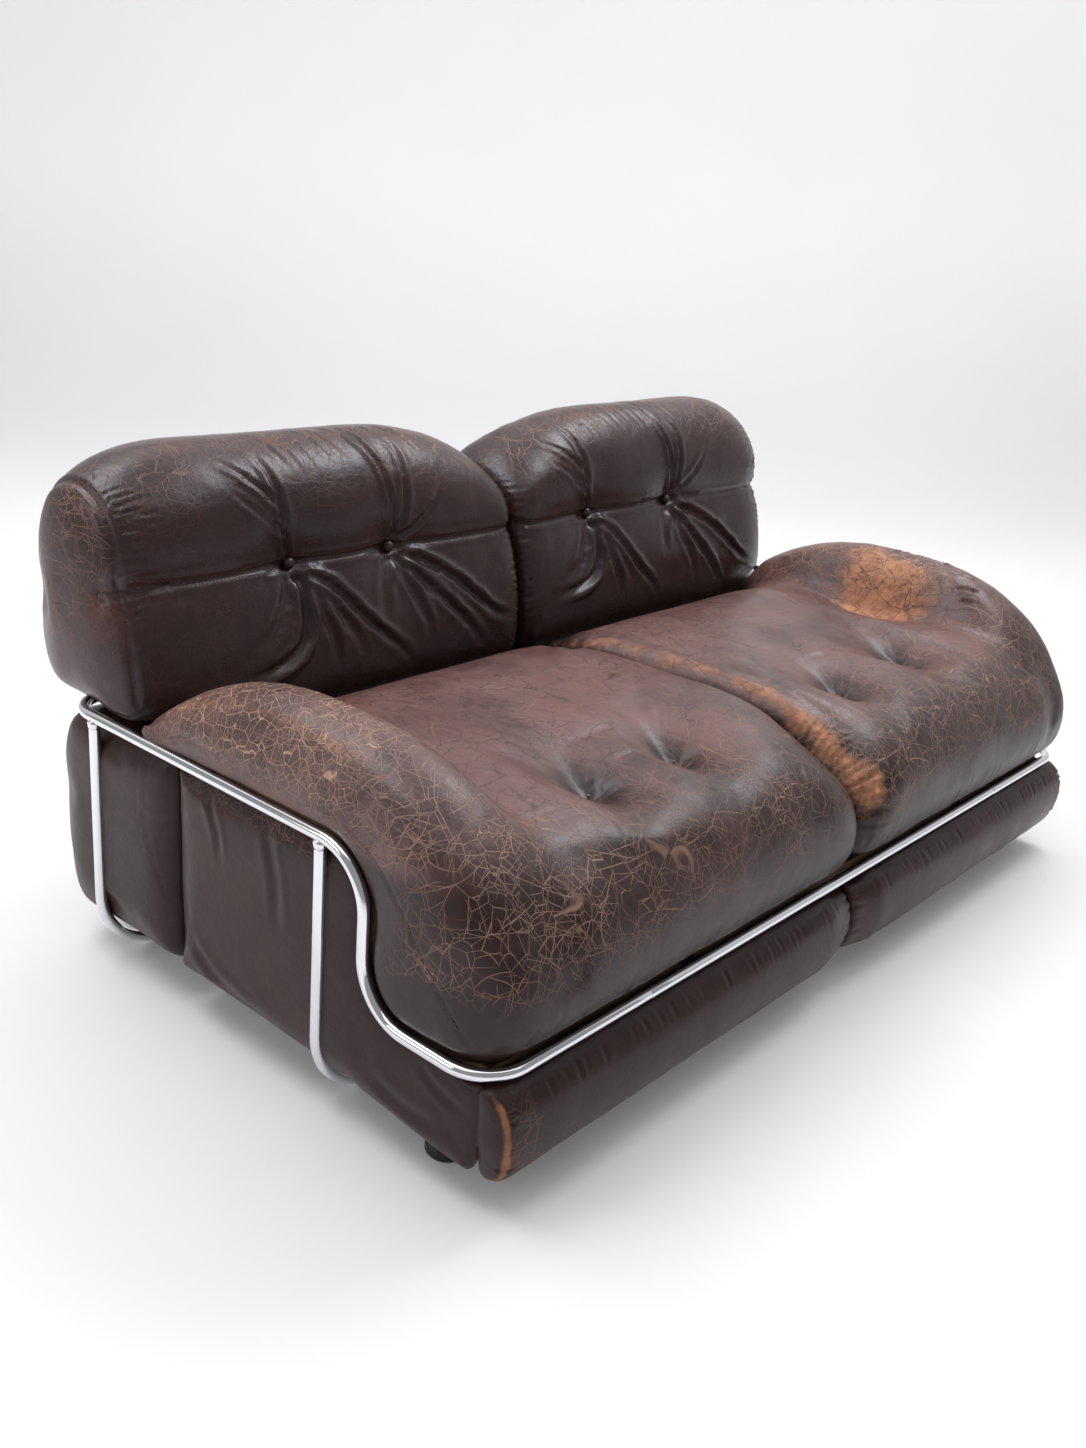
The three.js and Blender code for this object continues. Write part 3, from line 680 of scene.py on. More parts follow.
def seat_cushion(name):
    side = SIDES[name]
    xs = np.concatenate([
        HALF_GAP + 60 * (1 - np.cos(np.linspace(0, math.pi / 2, 9)[:-1])), np.linspace(63, 712, 44),
        np.linspace(716, 728, 3), SEAT_END - 42 * (1 - np.sin(np.linspace(0, math.pi / 2, 12)))])
    rings = []
    for x in xs:
        top, bottom = seat_section(x)
        ring = np.vstack([top, bottom[1:-1]])
        s = np.linspace(0, 1, len(top))
        # The inner end is rounded more over the front crown than behind it.
        crown = bell(s - 0.27, 0.15)
        drop, width = 26 + 52 * crown, 46 + 100 * crown
        inset = np.zeros(len(ring))
        inset[: len(top)] = [round_off(x - HALF_GAP, w, d) for w, d in zip(width, drop)]
        inset[len(top):] = round_off(x - HALF_GAP, 30, 12)
        rounding = np.full(len(ring), 6.0)
        rounding[: len(top)] = 12 + 28 * unit(s / 0.16)
        inset += rounding * round_off(SEAT_END - x, 42, 1.0)
        inset[0] = min(inset[0], 12)
        ring = ring + inward(ring) * inset[:, None]
        # In plan the front corners follow the rail's corners.
        ahead = unit((-ring[:, 0] - 350) / 90)
        ring[:, 0] += ahead * (round_off(SEAT_END - x, 74, 60) + round_off(x - HALF_GAP, 40, 10))
        rings.append([(side * x, y, z) for y, z in ring])
    cushion = remesh(loft(f"leather_seat_{name}", rings), VOXEL, 7)
    tufts = TUFTS[name]

    def held(p):
        weight = np.zeros(len(p))
        for x, y in tufts:
            gap = np.hypot(p[:, 0] - x, p[:, 1] - y)
            weight = np.maximum(weight, (gap < 14) * (p[:, 2] > 300))
        weight = np.maximum(weight, p[:, 2] < 200)
        weight = np.maximum(weight, (np.abs(p[:, 0]) > 730) * (p[:, 2] < 395) * (p[:, 1] > -200))
        return np.maximum(weight, np.abs(p[:, 0]) < 6)

    co = coords(cushion)
    for x, y in tufts:
        across, ahead = co[:, 0] - x, co[:, 1] - y
        gap = np.hypot(across, ahead)
        co[:, 2] -= (co[:, 2] > 300) * (30 * bell(gap, 68) + 9 * bell(gap, 27))
        # A long soft valley runs from each tuft, forward over the crown and back towards the rear.
        behind = np.where(ahead > 0, 210, 120)
        co[:, 2] -= (co[:, 2] > 330) * 10 * bell(across - 0.35 * ahead, 40) * bell(ahead, behind)
    if name == "right":
        slump = spot(co[:, 0] - 622, 66, co[:, 1] + 120, 100)
        co[:, 2] -= (co[:, 2] > 330) * 24 * slump
    # Inside the rail's corner the cushion is tucked down past the tube.
    past_side = np.maximum(np.abs(co[:, 0]) - (RAIL_X - CORNER_R), 0)
    past_front = np.minimum(co[:, 1] - (RAIL_FRONT + CORNER_R), 0)
    out = np.hypot(past_side, past_front)
    tuck = unit((54 - out) / 10) * unit((np.abs(co[:, 0]) - 640) / 60) * (co[:, 1] < -330)
    co[:, 2] -= 11 * tuck * unit((212 - co[:, 2]) / 12)
    sag = spot(np.abs(co[:, 0]) - 330, 230, co[:, 1] + 120, 170)
    co[:, 2] -= (co[:, 2] > 330) * 7 * sag
    set_coords(cushion, co)
    inflate_later(cushion, held, 3.0, 7.0)
    return cushion


# ---- back cushions ----
BUTTONS = {"left": (-471, -280), "right": (193, 428)}
SEAM_Z, SEAM_Y = 548.0, 251.0
BACK_TOP = 717
# The back's front from its foot to its top, and its rear from there down, as (y, z).
BACK_FRONT = [
    (244, 330), (222, 334), (213, 352), (211, 385), (213, 420), (220, 460), (231, 504), (243, 532),
    (251, 547), (248, 562), (249, 598), (260, 640), (286, 680), (320, 707), (352, BACK_TOP),
]
BACK_REAR = [
    (352, BACK_TOP), (394, 713), (432, 690), (459, 645), (474, 580), (476, 520), (472, 460), (456, 410),
    (420, 384), (360, 381),
]


def back_section(x):
    """The closed side outline of a back cushion at a distance x from the middle."""
    front, rear = smooth_line(BACK_FRONT, 100), smooth_line(BACK_REAR, 60)
    ring = np.vstack([front, rear[1:], even([(360, 381), (262, 380), (250, 370), (244, 330)], 24)[1:-1]])
    z_top = BACK_TOP - round_off(BACK_END - x, 165, 95) - round_off(x - HALF_GAP, 300, 122)
    lift = unit((ring[:, 1] - SEAM_Z) / (BACK_TOP - SEAM_Z))
    ring[:, 1] -= lift**1.1 * (BACK_TOP - z_top)
    # Behind the rail the cushion ends above it, so its lower edge rises towards the outer end.
    floor = 330 + unit((x - 640) / 76) * 42
    ring[:, 1] = np.maximum(ring[:, 1], floor + 0.02 * (ring[:, 1] - 330))
    centre = 362
    pull = round_off(BACK_END - x, 120, 52) + round_off(x - HALF_GAP, 45, 20)
    amount = unit(np.abs(ring[:, 0] - centre) / 110)
    ring[:, 0] += np.where(ring[:, 0] < centre, 1, -1) * pull * amount
    return ring


def back_cushion(name):
    side = SIDES[name]
    xs = np.concatenate([
        14 + 46 * (1 - np.cos(np.linspace(0, math.pi / 2, 8)[:-1])), np.linspace(60, 690, 40),
        np.linspace(698, 741, 8)])
    rings = []
    inner = back_section(14)
    middle = inner.mean(0)
    for a in np.linspace(math.pi / 2 * 0.97, 0, 7)[:-1]:
        ring = middle + (inner - middle) * math.cos(a) ** 0.55
        rings.append([(side * (14 - 11 * math.sin(a)), y, z) for y, z in ring])
    for x in xs:
        rings.append([(side * x, y, z) for y, z in back_section(x)])
    outer = back_section(741)
    middle = np.array((368.0, 500.0))
    for a in np.linspace(0, math.pi / 2 * 0.97, 11)[1:]:
        ring = middle + (outer - middle) * math.cos(a) ** 0.8
        below = outer[:, 1] < middle[1]
        ring[below, 1] = middle[1] + (outer[below, 1] - middle[1]) * math.cos(a) ** 0.28
        rings.append([(side * (741 + 24 * math.sin(a)), y, z) for y, z in ring])
    cushion = remesh(loft(f"leather_back_{name}", rings), VOXEL, 5)
    spots = BUTTONS[name]

    def held(p):
        weight = np.zeros(len(p))
        for x in spots:
            gap = np.hypot(p[:, 0] - x, p[:, 2] - SEAM_Z)
            weight = np.maximum(weight, (gap < 15) * (p[:, 1] < 330))
        seam = (np.abs(p[:, 2] - SEAM_Z) < 7) * (p[:, 1] < 330) * (np.abs(p[:, 0]) < 730)
        weight = np.maximum(weight, 0.7 * seam)
        weight = np.maximum(weight, p[:, 2] < 392)
        return np.maximum(weight, np.abs(p[:, 0]) < 6)

    co = coords(cushion)
    for x in spots:
        gap = np.hypot(co[:, 0] - x, co[:, 2] - SEAM_Z)
        co[:, 1] += (co[:, 1] < 330) * (10 * bell(gap, 66) + 4 * bell(gap, 20))
    set_coords(cushion, co)
    inflate_later(cushion, held, 3.0, 7.0)
    return cushion


# ---- pads below the rail ----
def pad(name, side, outline, near, far, edge, voxel, ledge=None):
    """A pad with a side outline (y, z), between two distances from the middle, its outer edges rounded."""
    ring = np.asarray(outline, float)
    turned = inward(ring)
    rings = []
    rounding = (far - near) - edge * (1 - np.sin(np.linspace(0, math.pi / 2, 8)[1:]))
    for d in np.concatenate([np.linspace(0, far - near - edge, 12), rounding]):
        inset = round_off(far - near - d, edge, edge * 0.9) + round_off(d, min(edge, 20), min(edge, 20) * 0.8)
        placed = ring + turned * inset
        if ledge and near + d < ledge[0]:
            sunk = (placed[:, 0] < ledge[1]) & (placed[:, 1] > ledge[2])
            placed[sunk, 1] = ledge[2]
        rings.append([(side * (near + d), y, z) for y, z in placed])
    return remesh(loft(name, rings), voxel, 4)


def side_outline():
    below = -11
    upper = arc((STEP_Y, RAIL_HIGH - STEP_R), STEP_R + below, 90, 180)
    lower = arc((STEP_Y - 2 * STEP_R, RAIL_LOW + STEP_R), STEP_R - below, 0, -90)
    line = [(-418, 38), (-354, 40), (-278, 47), (-216, 54), (96, 57), (128, 60), (128, RAIL_HIGH + below)]
    line += upper.tolist() + lower.tolist() + [(-436, RAIL_LOW + below), (-436, 96), (-431, 62), (-418, 38)]
    return even(line, 181)[:-1]


# A front pad's round side, from below to above, as (y, z).
FRONT_PROFILE = [
    (-421, 40), (-440, 37), (-459, 50), (-471, 80), (-475, 108), (-470, 138), (-456, 158), (-440, 165),
]


def front_outline():
    line = FRONT_PROFILE + [(-421, 165)]
    return np.vstack([smooth_line(line, 60), even([(-421, 165), (-421, 40)], 20)[1:-1]])


def lower_back_outline():
    rear = [
        (300, 48), (372, 52), (398, 84), (410, 150), (415, 215), (413, 290), (396, 340), (372, 357),
        (340, 360),
    ]
    inside = [(340, 360), (134, 360), (134, 58), (150, 52), (300, 48)]
    return np.vstack([smooth_line(rear, 80), even(inside, 80)[1:-1]])


# The step the back cushion stands on: how far out it goes, where it starts in y, and its height.
LEDGE = (722, 250, 322)
soft = {}
for name, side in SIDES.items():
    soft[f"seat_cushion_{name}"] = (seat_cushion(name), SEAT, "leather_seat", 0.8)
    soft[f"back_cushion_{name}"] = (back_cushion(name), BACK, "leather_back", 0.85)
    piece = pad(f"leather_side_{name}", side, side_outline(), 736, 759, 20, PAD_VOXEL)
    inflate_later(piece, lambda p: 1.0 * (np.abs(p[:, 0]) < 741), 2.0, 5.0)
    soft[f"side_pad_{name}"] = (piece, BASE, "leather_base", 0.6)
    piece = pad(f"leather_front_{name}", side, front_outline(), HALF_GAP, 760, 16, PAD_VOXEL)
    co = coords(piece)
    co[:, 0] -= side * 10 * unit((np.abs(co[:, 0]) - 690) / 60) * unit((100 - co[:, 2]) / 60)
    set_coords(piece, co)
    inflate_later(piece, lambda p: 1.0 * (p[:, 1] > -425), 2.0, 5.0)
    soft[f"front_pad_{name}"] = (piece, BASE, "leather_base", 0.75)
    piece = pad(f"leather_lower_back_{name}", side, lower_back_outline(), HALF_GAP, 758, 30, LOWER_BACK_VOXEL,
                LEDGE)
    inflate_later(piece, lambda p: 1.0 * (p[:, 1] < 140), 2.0, 6.0)
    soft[f"lower_back_{name}"] = (piece, BASE, "leather_base", 0.7)

inflate_all()


# ---- seams, folds, creases and wear ----
def profile_place(p, profile):
    """How far along a side profile (y, z) each point lies, in mm from the profile's start."""
    profile = smooth_line(profile, 260)
    step = np.linalg.norm(np.diff(profile, axis=0), axis=1)
    along = np.concatenate([[0], np.cumsum(step)])
    out = np.empty(len(p))
    for i in range(0, len(p), 4000):
        d = p[i:i + 4000, None, 1:] - profile[None]
        out[i:i + 4000] = along[np.argmin((d * d).sum(2), axis=1)]
    return out


def flat_crease(u, v, line, width, depth, fade=(0.12, 0.4), shoulder=0.5, lean=0.0):
    """A groove along a line in a surface's own two directions, with a soft ridge beside it."""
    line = np.asarray(line, float)
    if len(line) > 2:
        line = smooth_line(line, 5 * len(line))
    reach = 4.5 * width
    low, high = line.min(0) - reach, line.max(0) + reach
    inside = (u > low[0]) & (u < high[0]) & (v > low[1]) & (v < high[1])
    out = np.zeros(len(u))
    if not inside.any():
        return out
    q = np.stack([u[inside], v[inside]], axis=1)
    best, where, sign = np.full(len(q), 1e9), np.zeros(len(q)), np.zeros(len(q))
    lengths = np.linalg.norm(np.diff(line, axis=0), axis=1)
    total, reached = lengths.sum(), 0.0
    for a, b, length in zip(line, line[1:], lengths):
        d = b - a
        t = unit((q - a) @ d / max(d @ d, 1e-9))
        off = q - a - t[:, None] * d
        gap = np.hypot(off[:, 0], off[:, 1])
        closer = gap < best
        best[closer] = gap[closer]
        where[closer] = (reached + t[closer] * length) / total
        sign[closer] = np.sign(d[0] * off[closer, 1] - d[1] * off[closer, 0])
        reached += length
    side = best * sign
    shape = -bell(best, width)
    shape += shoulder * (1 + lean) * bell(side - 1.9 * width, width)
    shape += shoulder * (1 - lean) * bell(side + 1.9 * width, width)
    ends = unit(where / max(fade[0], 1e-3)) * unit((1 - where) / max(fade[1], 1e-3))
    out[inside] = depth * shape * ends * ends * (3 - 2 * ends)
    return out


def fan(u, v, at, count, turn, reach, width, depth, rng):
    """Short creases that run out from a point."""
    out = np.zeros(len(u))
    for i in range(count):
        angle = math.radians(turn[0] + (turn[1] - turn[0]) * (i + rng.uniform(-0.3, 0.3)) / max(count - 1, 1))
        length = rng.uniform(*reach)
        bow = rng.uniform(-0.25, 0.25)
        line = []
        for d in np.linspace(8, length, 4):
            heading = angle + bow * d / length
            line.append((at[0] + d * math.cos(heading), at[1] + d * math.sin(heading)))
        wide, deep = width * rng.uniform(0.8, 1.3), depth * rng.uniform(0.6, 1.2)
        out += flat_crease(u, v, line, wide, deep, (0.05, 0.7))
    return out


# Folds round a back button, as (across towards the middle, up from the seam), width and depth.
FOLDS_OUTER = [
    ([(0, 4), (-12, 40), (-15, 95), (-22, 140), (-38, 178)], 5.0, 5.0),
    ([(-4, 60), (-35, 105), (-80, 150), (-118, 178)], 4.5, 2.6),
    ([(-8, 40), (-60, 85), (-100, 120)], 4.0, 1.8),
    ([(4, -8), (10, -45), (7, -85), (-12, -122), (-60, -143), (-125, -150)], 7.0, 8.0),
    ([(10, -14), (33, -63), (50, -110), (61, -170)], 7.0, 4.5),
    ([(15, -12), (60, -38), (98, -78), (142, -120), (190, -160), (222, -196)], 6.0, 5.0),
    ([(10, -10), (50, -60), (88, -110), (120, -170)], 7.0, 3.0),
    ([(-8, -14), (-30, -60), (-60, -96), (-100, -112)], 9.0, 3.5),
]
FOLDS_INNER = [
    ([(0, 4), (3, 30), (-2, 80), (-8, 125), (-26, 175), (-40, 215)], 4.5, 5.0),
    ([(6, 8), (23, 48), (32, 100), (38, 150), (22, 198)], 5.0, 5.0),
    ([(12, 10), (45, 28), (80, 56), (118, 96)], 5.0, 2.6),
    ([(10, -8), (56, -26), (108, -58), (160, -98), (205, -133), (268, -150)], 6.0, 5.5),
    ([(8, -12), (45, -54), (90, -94), (148, -150), (196, -205)], 6.5, 4.5),
    ([(4, -12), (24, -66), (48, -120), (58, -165)], 7.0, 3.5),
    ([(-6, -10), (-30, -60), (-38, -110)], 8.0, 2.5),
]


# Puckers at the end panel's seam: from and to along the front, their pitch, length and depth.
END_PUCKERS = ((14, 150, 7.0, 62, 2.0), (-80, -10, 8.0, 34, 1.3), (160, 230, 9.0, 30, 0.8))


def dress_back(name, piece):
    side = SIDES[name]
    rng = np.random.default_rng(11 if side < 0 else 12)
    p, n = coords(piece), normals(piece)
    s = profile_place(p, BACK_FRONT + BACK_REAR[1:])
    seam_s = profile_place(np.array([(0.0, SEAM_Y, SEAM_Z)]), BACK_FRONT + BACK_REAR[1:])[0]
    v = s - seam_s
    u, x = p[:, 0], np.abs(p[:, 0])
    front = unit((380 - p[:, 1]) / 40) * (np.abs(n[:, 0]) < 0.93)
    height = np.zeros(len(p))
    first, second = BUTTONS[name]
    for at, folds in ((first, FOLDS_OUTER), (second, FOLDS_INNER)):
        for line, width, depth in folds:
            line = np.array(line, float)
            if side > 0:
                line[:, 0] *= rng.uniform(0.85, 1.1)
                line[:, 1] *= rng.uniform(0.85, 1.05)
            line[:, 0] += at
            height += flat_crease(u, v, line, width, depth, (0.06, 0.45), 0.7, 0.4)
    # Parallel creases over the crown.
    for i in range(11):
        cx = min(first, second) + 8 + i * 26 + rng.uniform(-6, 6)
        top = rng.uniform(205, 235)
        line = [(cx - 22, top), (cx, top - 45), (cx + 14, top - 45 - rng.uniform(30, 55))]
        height += flat_crease(u, v, line, 3.2, 1.5, (0.2, 0.5))
    # Puckers where the front panel is gathered into the end panel's seam.
    edge = 735 * side
    for v0, v1, step, reach, depth in END_PUCKERS:
        at = v0
        while at < v1:
            length = reach * rng.uniform(0.55, 1.1)
            drift = rng.uniform(-5, 5)
            run = side * length
            line = [(edge, at), (edge - run * 0.5, at + drift * 0.5 + 1.5), (edge - run, at + drift)]
            height += flat_crease(u, v, line, 2.6, depth * rng.uniform(0.6, 1.2), (0.05, 0.6), 0.6)
            at += step * rng.uniform(0.8, 1.25)
    # Puckers along the middle, where the two backs meet.
    at = -150
    while at < 210:
        length = rng.uniform(14, 34)
        line = [(side * 8, at), (side * (8 + length), at + rng.uniform(-6, 6))]
        height += flat_crease(u, v, line, 3.0, rng.uniform(0.6, 1.6), (0.05, 0.6), 0.6)
        at += rng.uniform(9, 17)
    height *= front
    # The horizontal seam, drawn in between the lobes, and the end panel's seam.
    facing = front * (n[:, 1] < 0.2)
    height -= facing * (3.4 * bell(v, 3.6) - 1.2 * bell(np.abs(v) - 9, 5))
    shell = unit((p[:, 2] - 392) / 12)
    height -= shell * (3.2 * bell(x - 741, 3.6) - 1.0 * bell(np.abs(x - 741) - 8, 4))
    for at in (first, second):
        gap = np.hypot(u - at, p[:, 2] - SEAM_Z)
        height -= front * 3.0 * bell(gap, 11)
    height += 0.9 * lumps(p, 60, 3 + side, 2)
    set_coords(piece, p + n * height[:, None])
    crown = bell(v - 200, 70)
    end = unit((x - 738) / 6)
    patch = unit(0.5 + 0.9 * lumps(p, 130, 21 + side, 2))
    crack = 0.12 + 0.30 * crown * (0.35 + 0.65 * patch) + 0.12 * end * unit((p[:, 2] - 430) / 150)
    crack += 0.30 * bell(x, 120) * crown
    wear = 0.40 * bell(x - 741, 7) * unit((p[:, 2] - 590) / 60) * (p[:, 1] < 400)
    wear += 0.14 * end * unit((p[:, 2] - 560) / 90)
    set_attribute(piece, "crack", crack)
    set_attribute(piece, "wear", wear)
    set_attribute(piece, "scuff", 0.20 + 0.30 * crown * patch + 0.25 * end)


# Torn cracks beside the dent: where they start in x and y, their heading in degrees and length.
TORN = (
    (672, -210, -50, 52), (690, -176, -35, 44), (652, -238, -70, 46), (706, -130, -20, 40),
    (686, -236, -48, 36), (640, -262, -80, 30), (700, -96, 5, 34),
)


def dress_seat(name, piece):
    side = SIDES[name]
    rng = np.random.default_rng(21 if side < 0 else 22)
    p, n = coords(piece), normals(piece)
    u, x = p[:, 0], np.abs(p[:, 0])
    s = profile_place(p, SEAT_MAIN)
    height = np.zeros(len(p))
    upper = unit((p[:, 2] - 300) / 30) * (n[:, 2] > 0)
    for at in TUFTS[name]:
        height += upper * fan(p[:, 0], p[:, 1], at, 15, (0, 345), (28, 78), 3.4, 1.2, rng)
        line = [(at[0] - 30, at[1] + 6), at, (at[0] + 34, at[1] - 4)]
        height += upper * flat_crease(p[:, 0], p[:, 1], line, 6.0, 2.5, (0.4, 0.4), 0.3)
    # Shallow broad folds across the seat and over the front crown.
    for _ in range(26):
        cx, cs = side * rng.uniform(40, 700), rng.uniform(190, 700)
        angle, length = rng.uniform(0, math.pi), rng.uniform(60, 170)
        dx, ds = math.cos(angle) * length / 2, math.sin(angle) * length / 2
        bend = (cx + rng.uniform(-12, 12), cs + rng.uniform(-12, 12))
        line = [(cx - dx, cs - ds), bend, (cx + dx, cs + ds)]
        height += flat_crease(u, s, line, 4.0, rng.uniform(0.5, 1.1), (0.4, 0.4), 0.5)
    # Puckers down from the crown at the front, and along the lower edge.
    for _ in range(46):
        cx = side * rng.uniform(20, 740)
        low = rng.uniform(4, 30)
        line = [(cx, low), (cx + rng.uniform(-6, 6), low + rng.uniform(25, 75))]
        height += flat_crease(u, s, line, 3.4, rng.uniform(0.5, 1.3), (0.05, 0.6), 0.5)
    if name == "right":
        # Pleats where the right cushion is gathered along the division.
        for at in np.arange(70, 300, 13):
            at += rng.uniform(-4, 4)
            line = [(6, at), (30, at + rng.uniform(2, 8)), (rng.uniform(46, 78), at + rng.uniform(4, 16))]
            height += flat_crease(u, s, line, 3.6, rng.uniform(1.2, 2.6), (0.02, 0.6), 0.7)
        roll = bell(u - 26, 14) * unit((s - 220) / 80) * unit((820 - s) / 60)
        height += 4.0 * roll - 3.0 * bell(u - 58, 12) * unit((s - 220) / 80)
        # Torn cracks in the leather beside the dent.
        for cx, cy, turn, length in TORN:
            a = math.radians(turn)
            line = [(cx + d * math.cos(a), cy + d * math.sin(a) + rng.uniform(-4, 4))
                    for d in np.linspace(0, length, 5)]
            height += upper * flat_crease(p[:, 0], p[:, 1], line, 3.0, 4.5, (0.1, 0.2), 0.35)
    # The side seam, stitched down to the front corner.
    seam = [(-200, 400), (-274, 367), (-349, 289), (-416, 209)]
    outer = unit((x - 752) / 8)
    height += outer * flat_crease(p[:, 1], p[:, 2], seam, 2.6, 1.5, (0.3, 0.02), 0.4)
    height += 1.2 * lumps(p, 85, 5 + side, 3)
    set_coords(piece, p + n * height[:, None])
    # Wear. The roll's crest and the front crown are crazed, the seat's middle is scuffed, and its flat top is
    # made lighter, partly for scuffing and partly as painted sheen.
    patch = unit(0.5 + 0.9 * lumps(p, 120, 31 + side, 2))
    on_roll = unit((x - 600) / 60) * unit((p[:, 2] - 385) / 30)
    crown = bell(s - 185, 105)
    top = unit((p[:, 2] - 360) / 25)
    back_of_roll = unit((p[:, 1] + 330) / 150)
    fade = unit((s - 20) / 90)
    wear = 0.12 * top * patch
    crack = 0.22 * top + (0.46 + 0.16 * patch) * crown * fade + on_roll * (0.26 + 0.42 * back_of_roll)
    crack += 0.14 * bell(x - 700, 110) * bell(s - 210, 120)
    for at in TUFTS[name]:
        near = spot(u - at[0], 46, p[:, 1] - at[1] + 6, 40)
        crack += 0.20 * near * (p[:, 2] > 300)
        wear += 0.50 * near * (p[:, 2] > 300)
    band = bell(x - 746, 13) * unit((p[:, 2] - 405) / 25)
    if name == "left":
        wear += 0.50 * band * unit((p[:, 1] + 330) / 120) + 0.05 * on_roll
    else:
        ragged = 1 + 0.22 * lumps(p, 34, 77, 2)
        across, along = (p[:, 0] - 628) / 62 * ragged, (p[:, 1] + 118) / 96 * ragged
        hollow = np.exp(-(across**2) - along**2)
        wear += 1.05 * hollow * top + 0.22 * on_roll * patch + 0.2 * band
        wash = spot(p[:, 0] - 500, 240, p[:, 1] + 60, 150)
        wear += 0.30 * wash * top * (0.3 + 0.7 * patch)
        shabby = 0.85 + 0.3 * lumps(p, 46, 91, 2)
        wear += 0.68 * shabby * bell(u - 24, 25) * unit((s - 40) / 80)
        wear += 0.46 * shabby * bell(u - 50, 60) * bell(s - 190, 120)
        crack += 0.25 * bell(u - 60, 70) * bell(s - 200, 130)
    set_attribute(piece, "crack", crack)
    set_attribute(piece, "wear", wear)
    # Painted sheen, partly real scuffing: the flat top is lightened through the scuff mask.
    flat = unit((s - 210) / 110) * top
    sat_on_and_sheen = 0.72 * flat * (0.6 + 0.4 * patch) * (1 - 0.2 * on_roll)
    set_attribute(piece, "scuff", 0.08 + sat_on_and_sheen + 0.14 * crown)


# Folds in a side pad and seams in a lower back's end, as (y, z), with width and depth or depth and fade.
SIDE_FOLDS = (
    ([(60, 350), (30, 300), (24, 250)], 6, 1.6),
    ([(-60, 350), (-84, 280), (-90, 200)], 8, 1.8),
    ([(100, 130), (40, 90), (-40, 75)], 9, 2.2),
    ([(-250, 100), (-320, 82), (-400, 90)], 9, 2.0),
    ([(-330, 150), (-380, 128), (-425, 122)], 6, 1.6),
)
END_SEAMS = (
    ([(132, 269), (190, 269)], 1.8, 0.01),
    ([(190, 269), (170, 200), (134, 124)], 1.4, 0.01),
    ([(190, 350), (190, 269)], 1.2, 0.1),
)


def dress_pad(node, piece):
    p, n = coords(piece), normals(piece)
    side = LEFT if p[:, 0].mean() < 0 else RIGHT
    x = np.abs(p[:, 0])
    rng = np.random.default_rng(41)
    height = 1.1 * lumps(p, 90, 7, 2)
    crack, wear = np.full(len(p), 0.08), np.zeros(len(p))
    if node.startswith("side"):
        outer = x > 745
        crack += outer * 0.35 * unit((p[:, 2] - 318) / 40) * unit((p[:, 1] + 200) / 60)
        wear += outer * 0.75 * spot(p[:, 1] - 118, 12, p[:, 2] - 322, 26)
        wear += 0.9 * bell(p[:, 1] + 431, 4) * (p[:, 2] < 172)
        wear += 0.3 * bell(p[:, 1] + 428, 14) * (p[:, 2] < 80)
        for line, width, depth in SIDE_FOLDS:
            height += outer * flat_crease(p[:, 1], p[:, 2], line, width, depth, (0.25, 0.4), 0.6)
    if node.startswith("front"):
        s = profile_place(p, FRONT_PROFILE)
        for end in (754, 6):
            for _ in range(14):
                at = rng.uniform(20, 150)
                inwards = -1 if end > 400 else 1
                reach = inwards * rng.uniform(12, 34)
                line = [(side * end, at), (side * (end + reach), at + rng.uniform(-6, 6))]
                height += flat_crease(p[:, 0], s, line, 3.2, rng.uniform(0.5, 1.4), (0.05, 0.6), 0.5)
        for _ in range(30):
            at = side * rng.uniform(30, 740)
            line = [(at, 156), (at + rng.uniform(-5, 5), 156 - rng.uniform(14, 42))]
            height += flat_crease(p[:, 0], s, line, 3.2, rng.uniform(0.4, 1.0), (0.05, 0.6), 0.5)
        lip = x + 10 * unit((100 - p[:, 2]) / 60)
        wear += 0.95 * bell(lip - 753, 4.5) * unit((172 - p[:, 2]) / 20)
        wear += 0.42 * bell(lip - 738, 14) * bell(p[:, 2] - 84, 34)
        crack += 0.55 * bell(lip - 724, 22) * bell(p[:, 2] - 100, 40)
    if node.startswith("lower"):
        outer = unit((x - 742) / 6)
        for line, depth, fade in END_SEAMS:
            height += outer * flat_crease(p[:, 1], p[:, 2], line, 2.4, depth, (fade, 0.05), 0.5)
        rear = unit((p[:, 1] - 340) / 20)
        for _ in range(24):
            at = side * rng.uniform(20, 740)
            line = [(at, 352), (at + rng.uniform(-6, 6), 352 - rng.uniform(20, 60))]
            height += rear * flat_crease(p[:, 0], p[:, 2], line, 4.0, rng.uniform(0.6, 1.6), (0.05, 0.6), 0.5)
        crack += 0.02 * outer
    set_coords(piece, p + n * height[:, None])
    set_attribute(piece, "crack", crack)
    set_attribute(piece, "wear", wear)
    set_attribute(piece, "scuff", 0.15 + 0.2 * unit(0.5 + lumps(p, 150, 9, 2)))


for node, (piece, material, slot, fill) in soft.items():
    subdivide(piece)
    name = node.rsplit("_", 1)[1]
    if node.startswith("seat"):
        dress_seat(name, piece)
    elif node.startswith("back"):
        dress_back(name, piece)
    else:
        dress_pad(node, piece)
    dress(piece, material, slot, node)


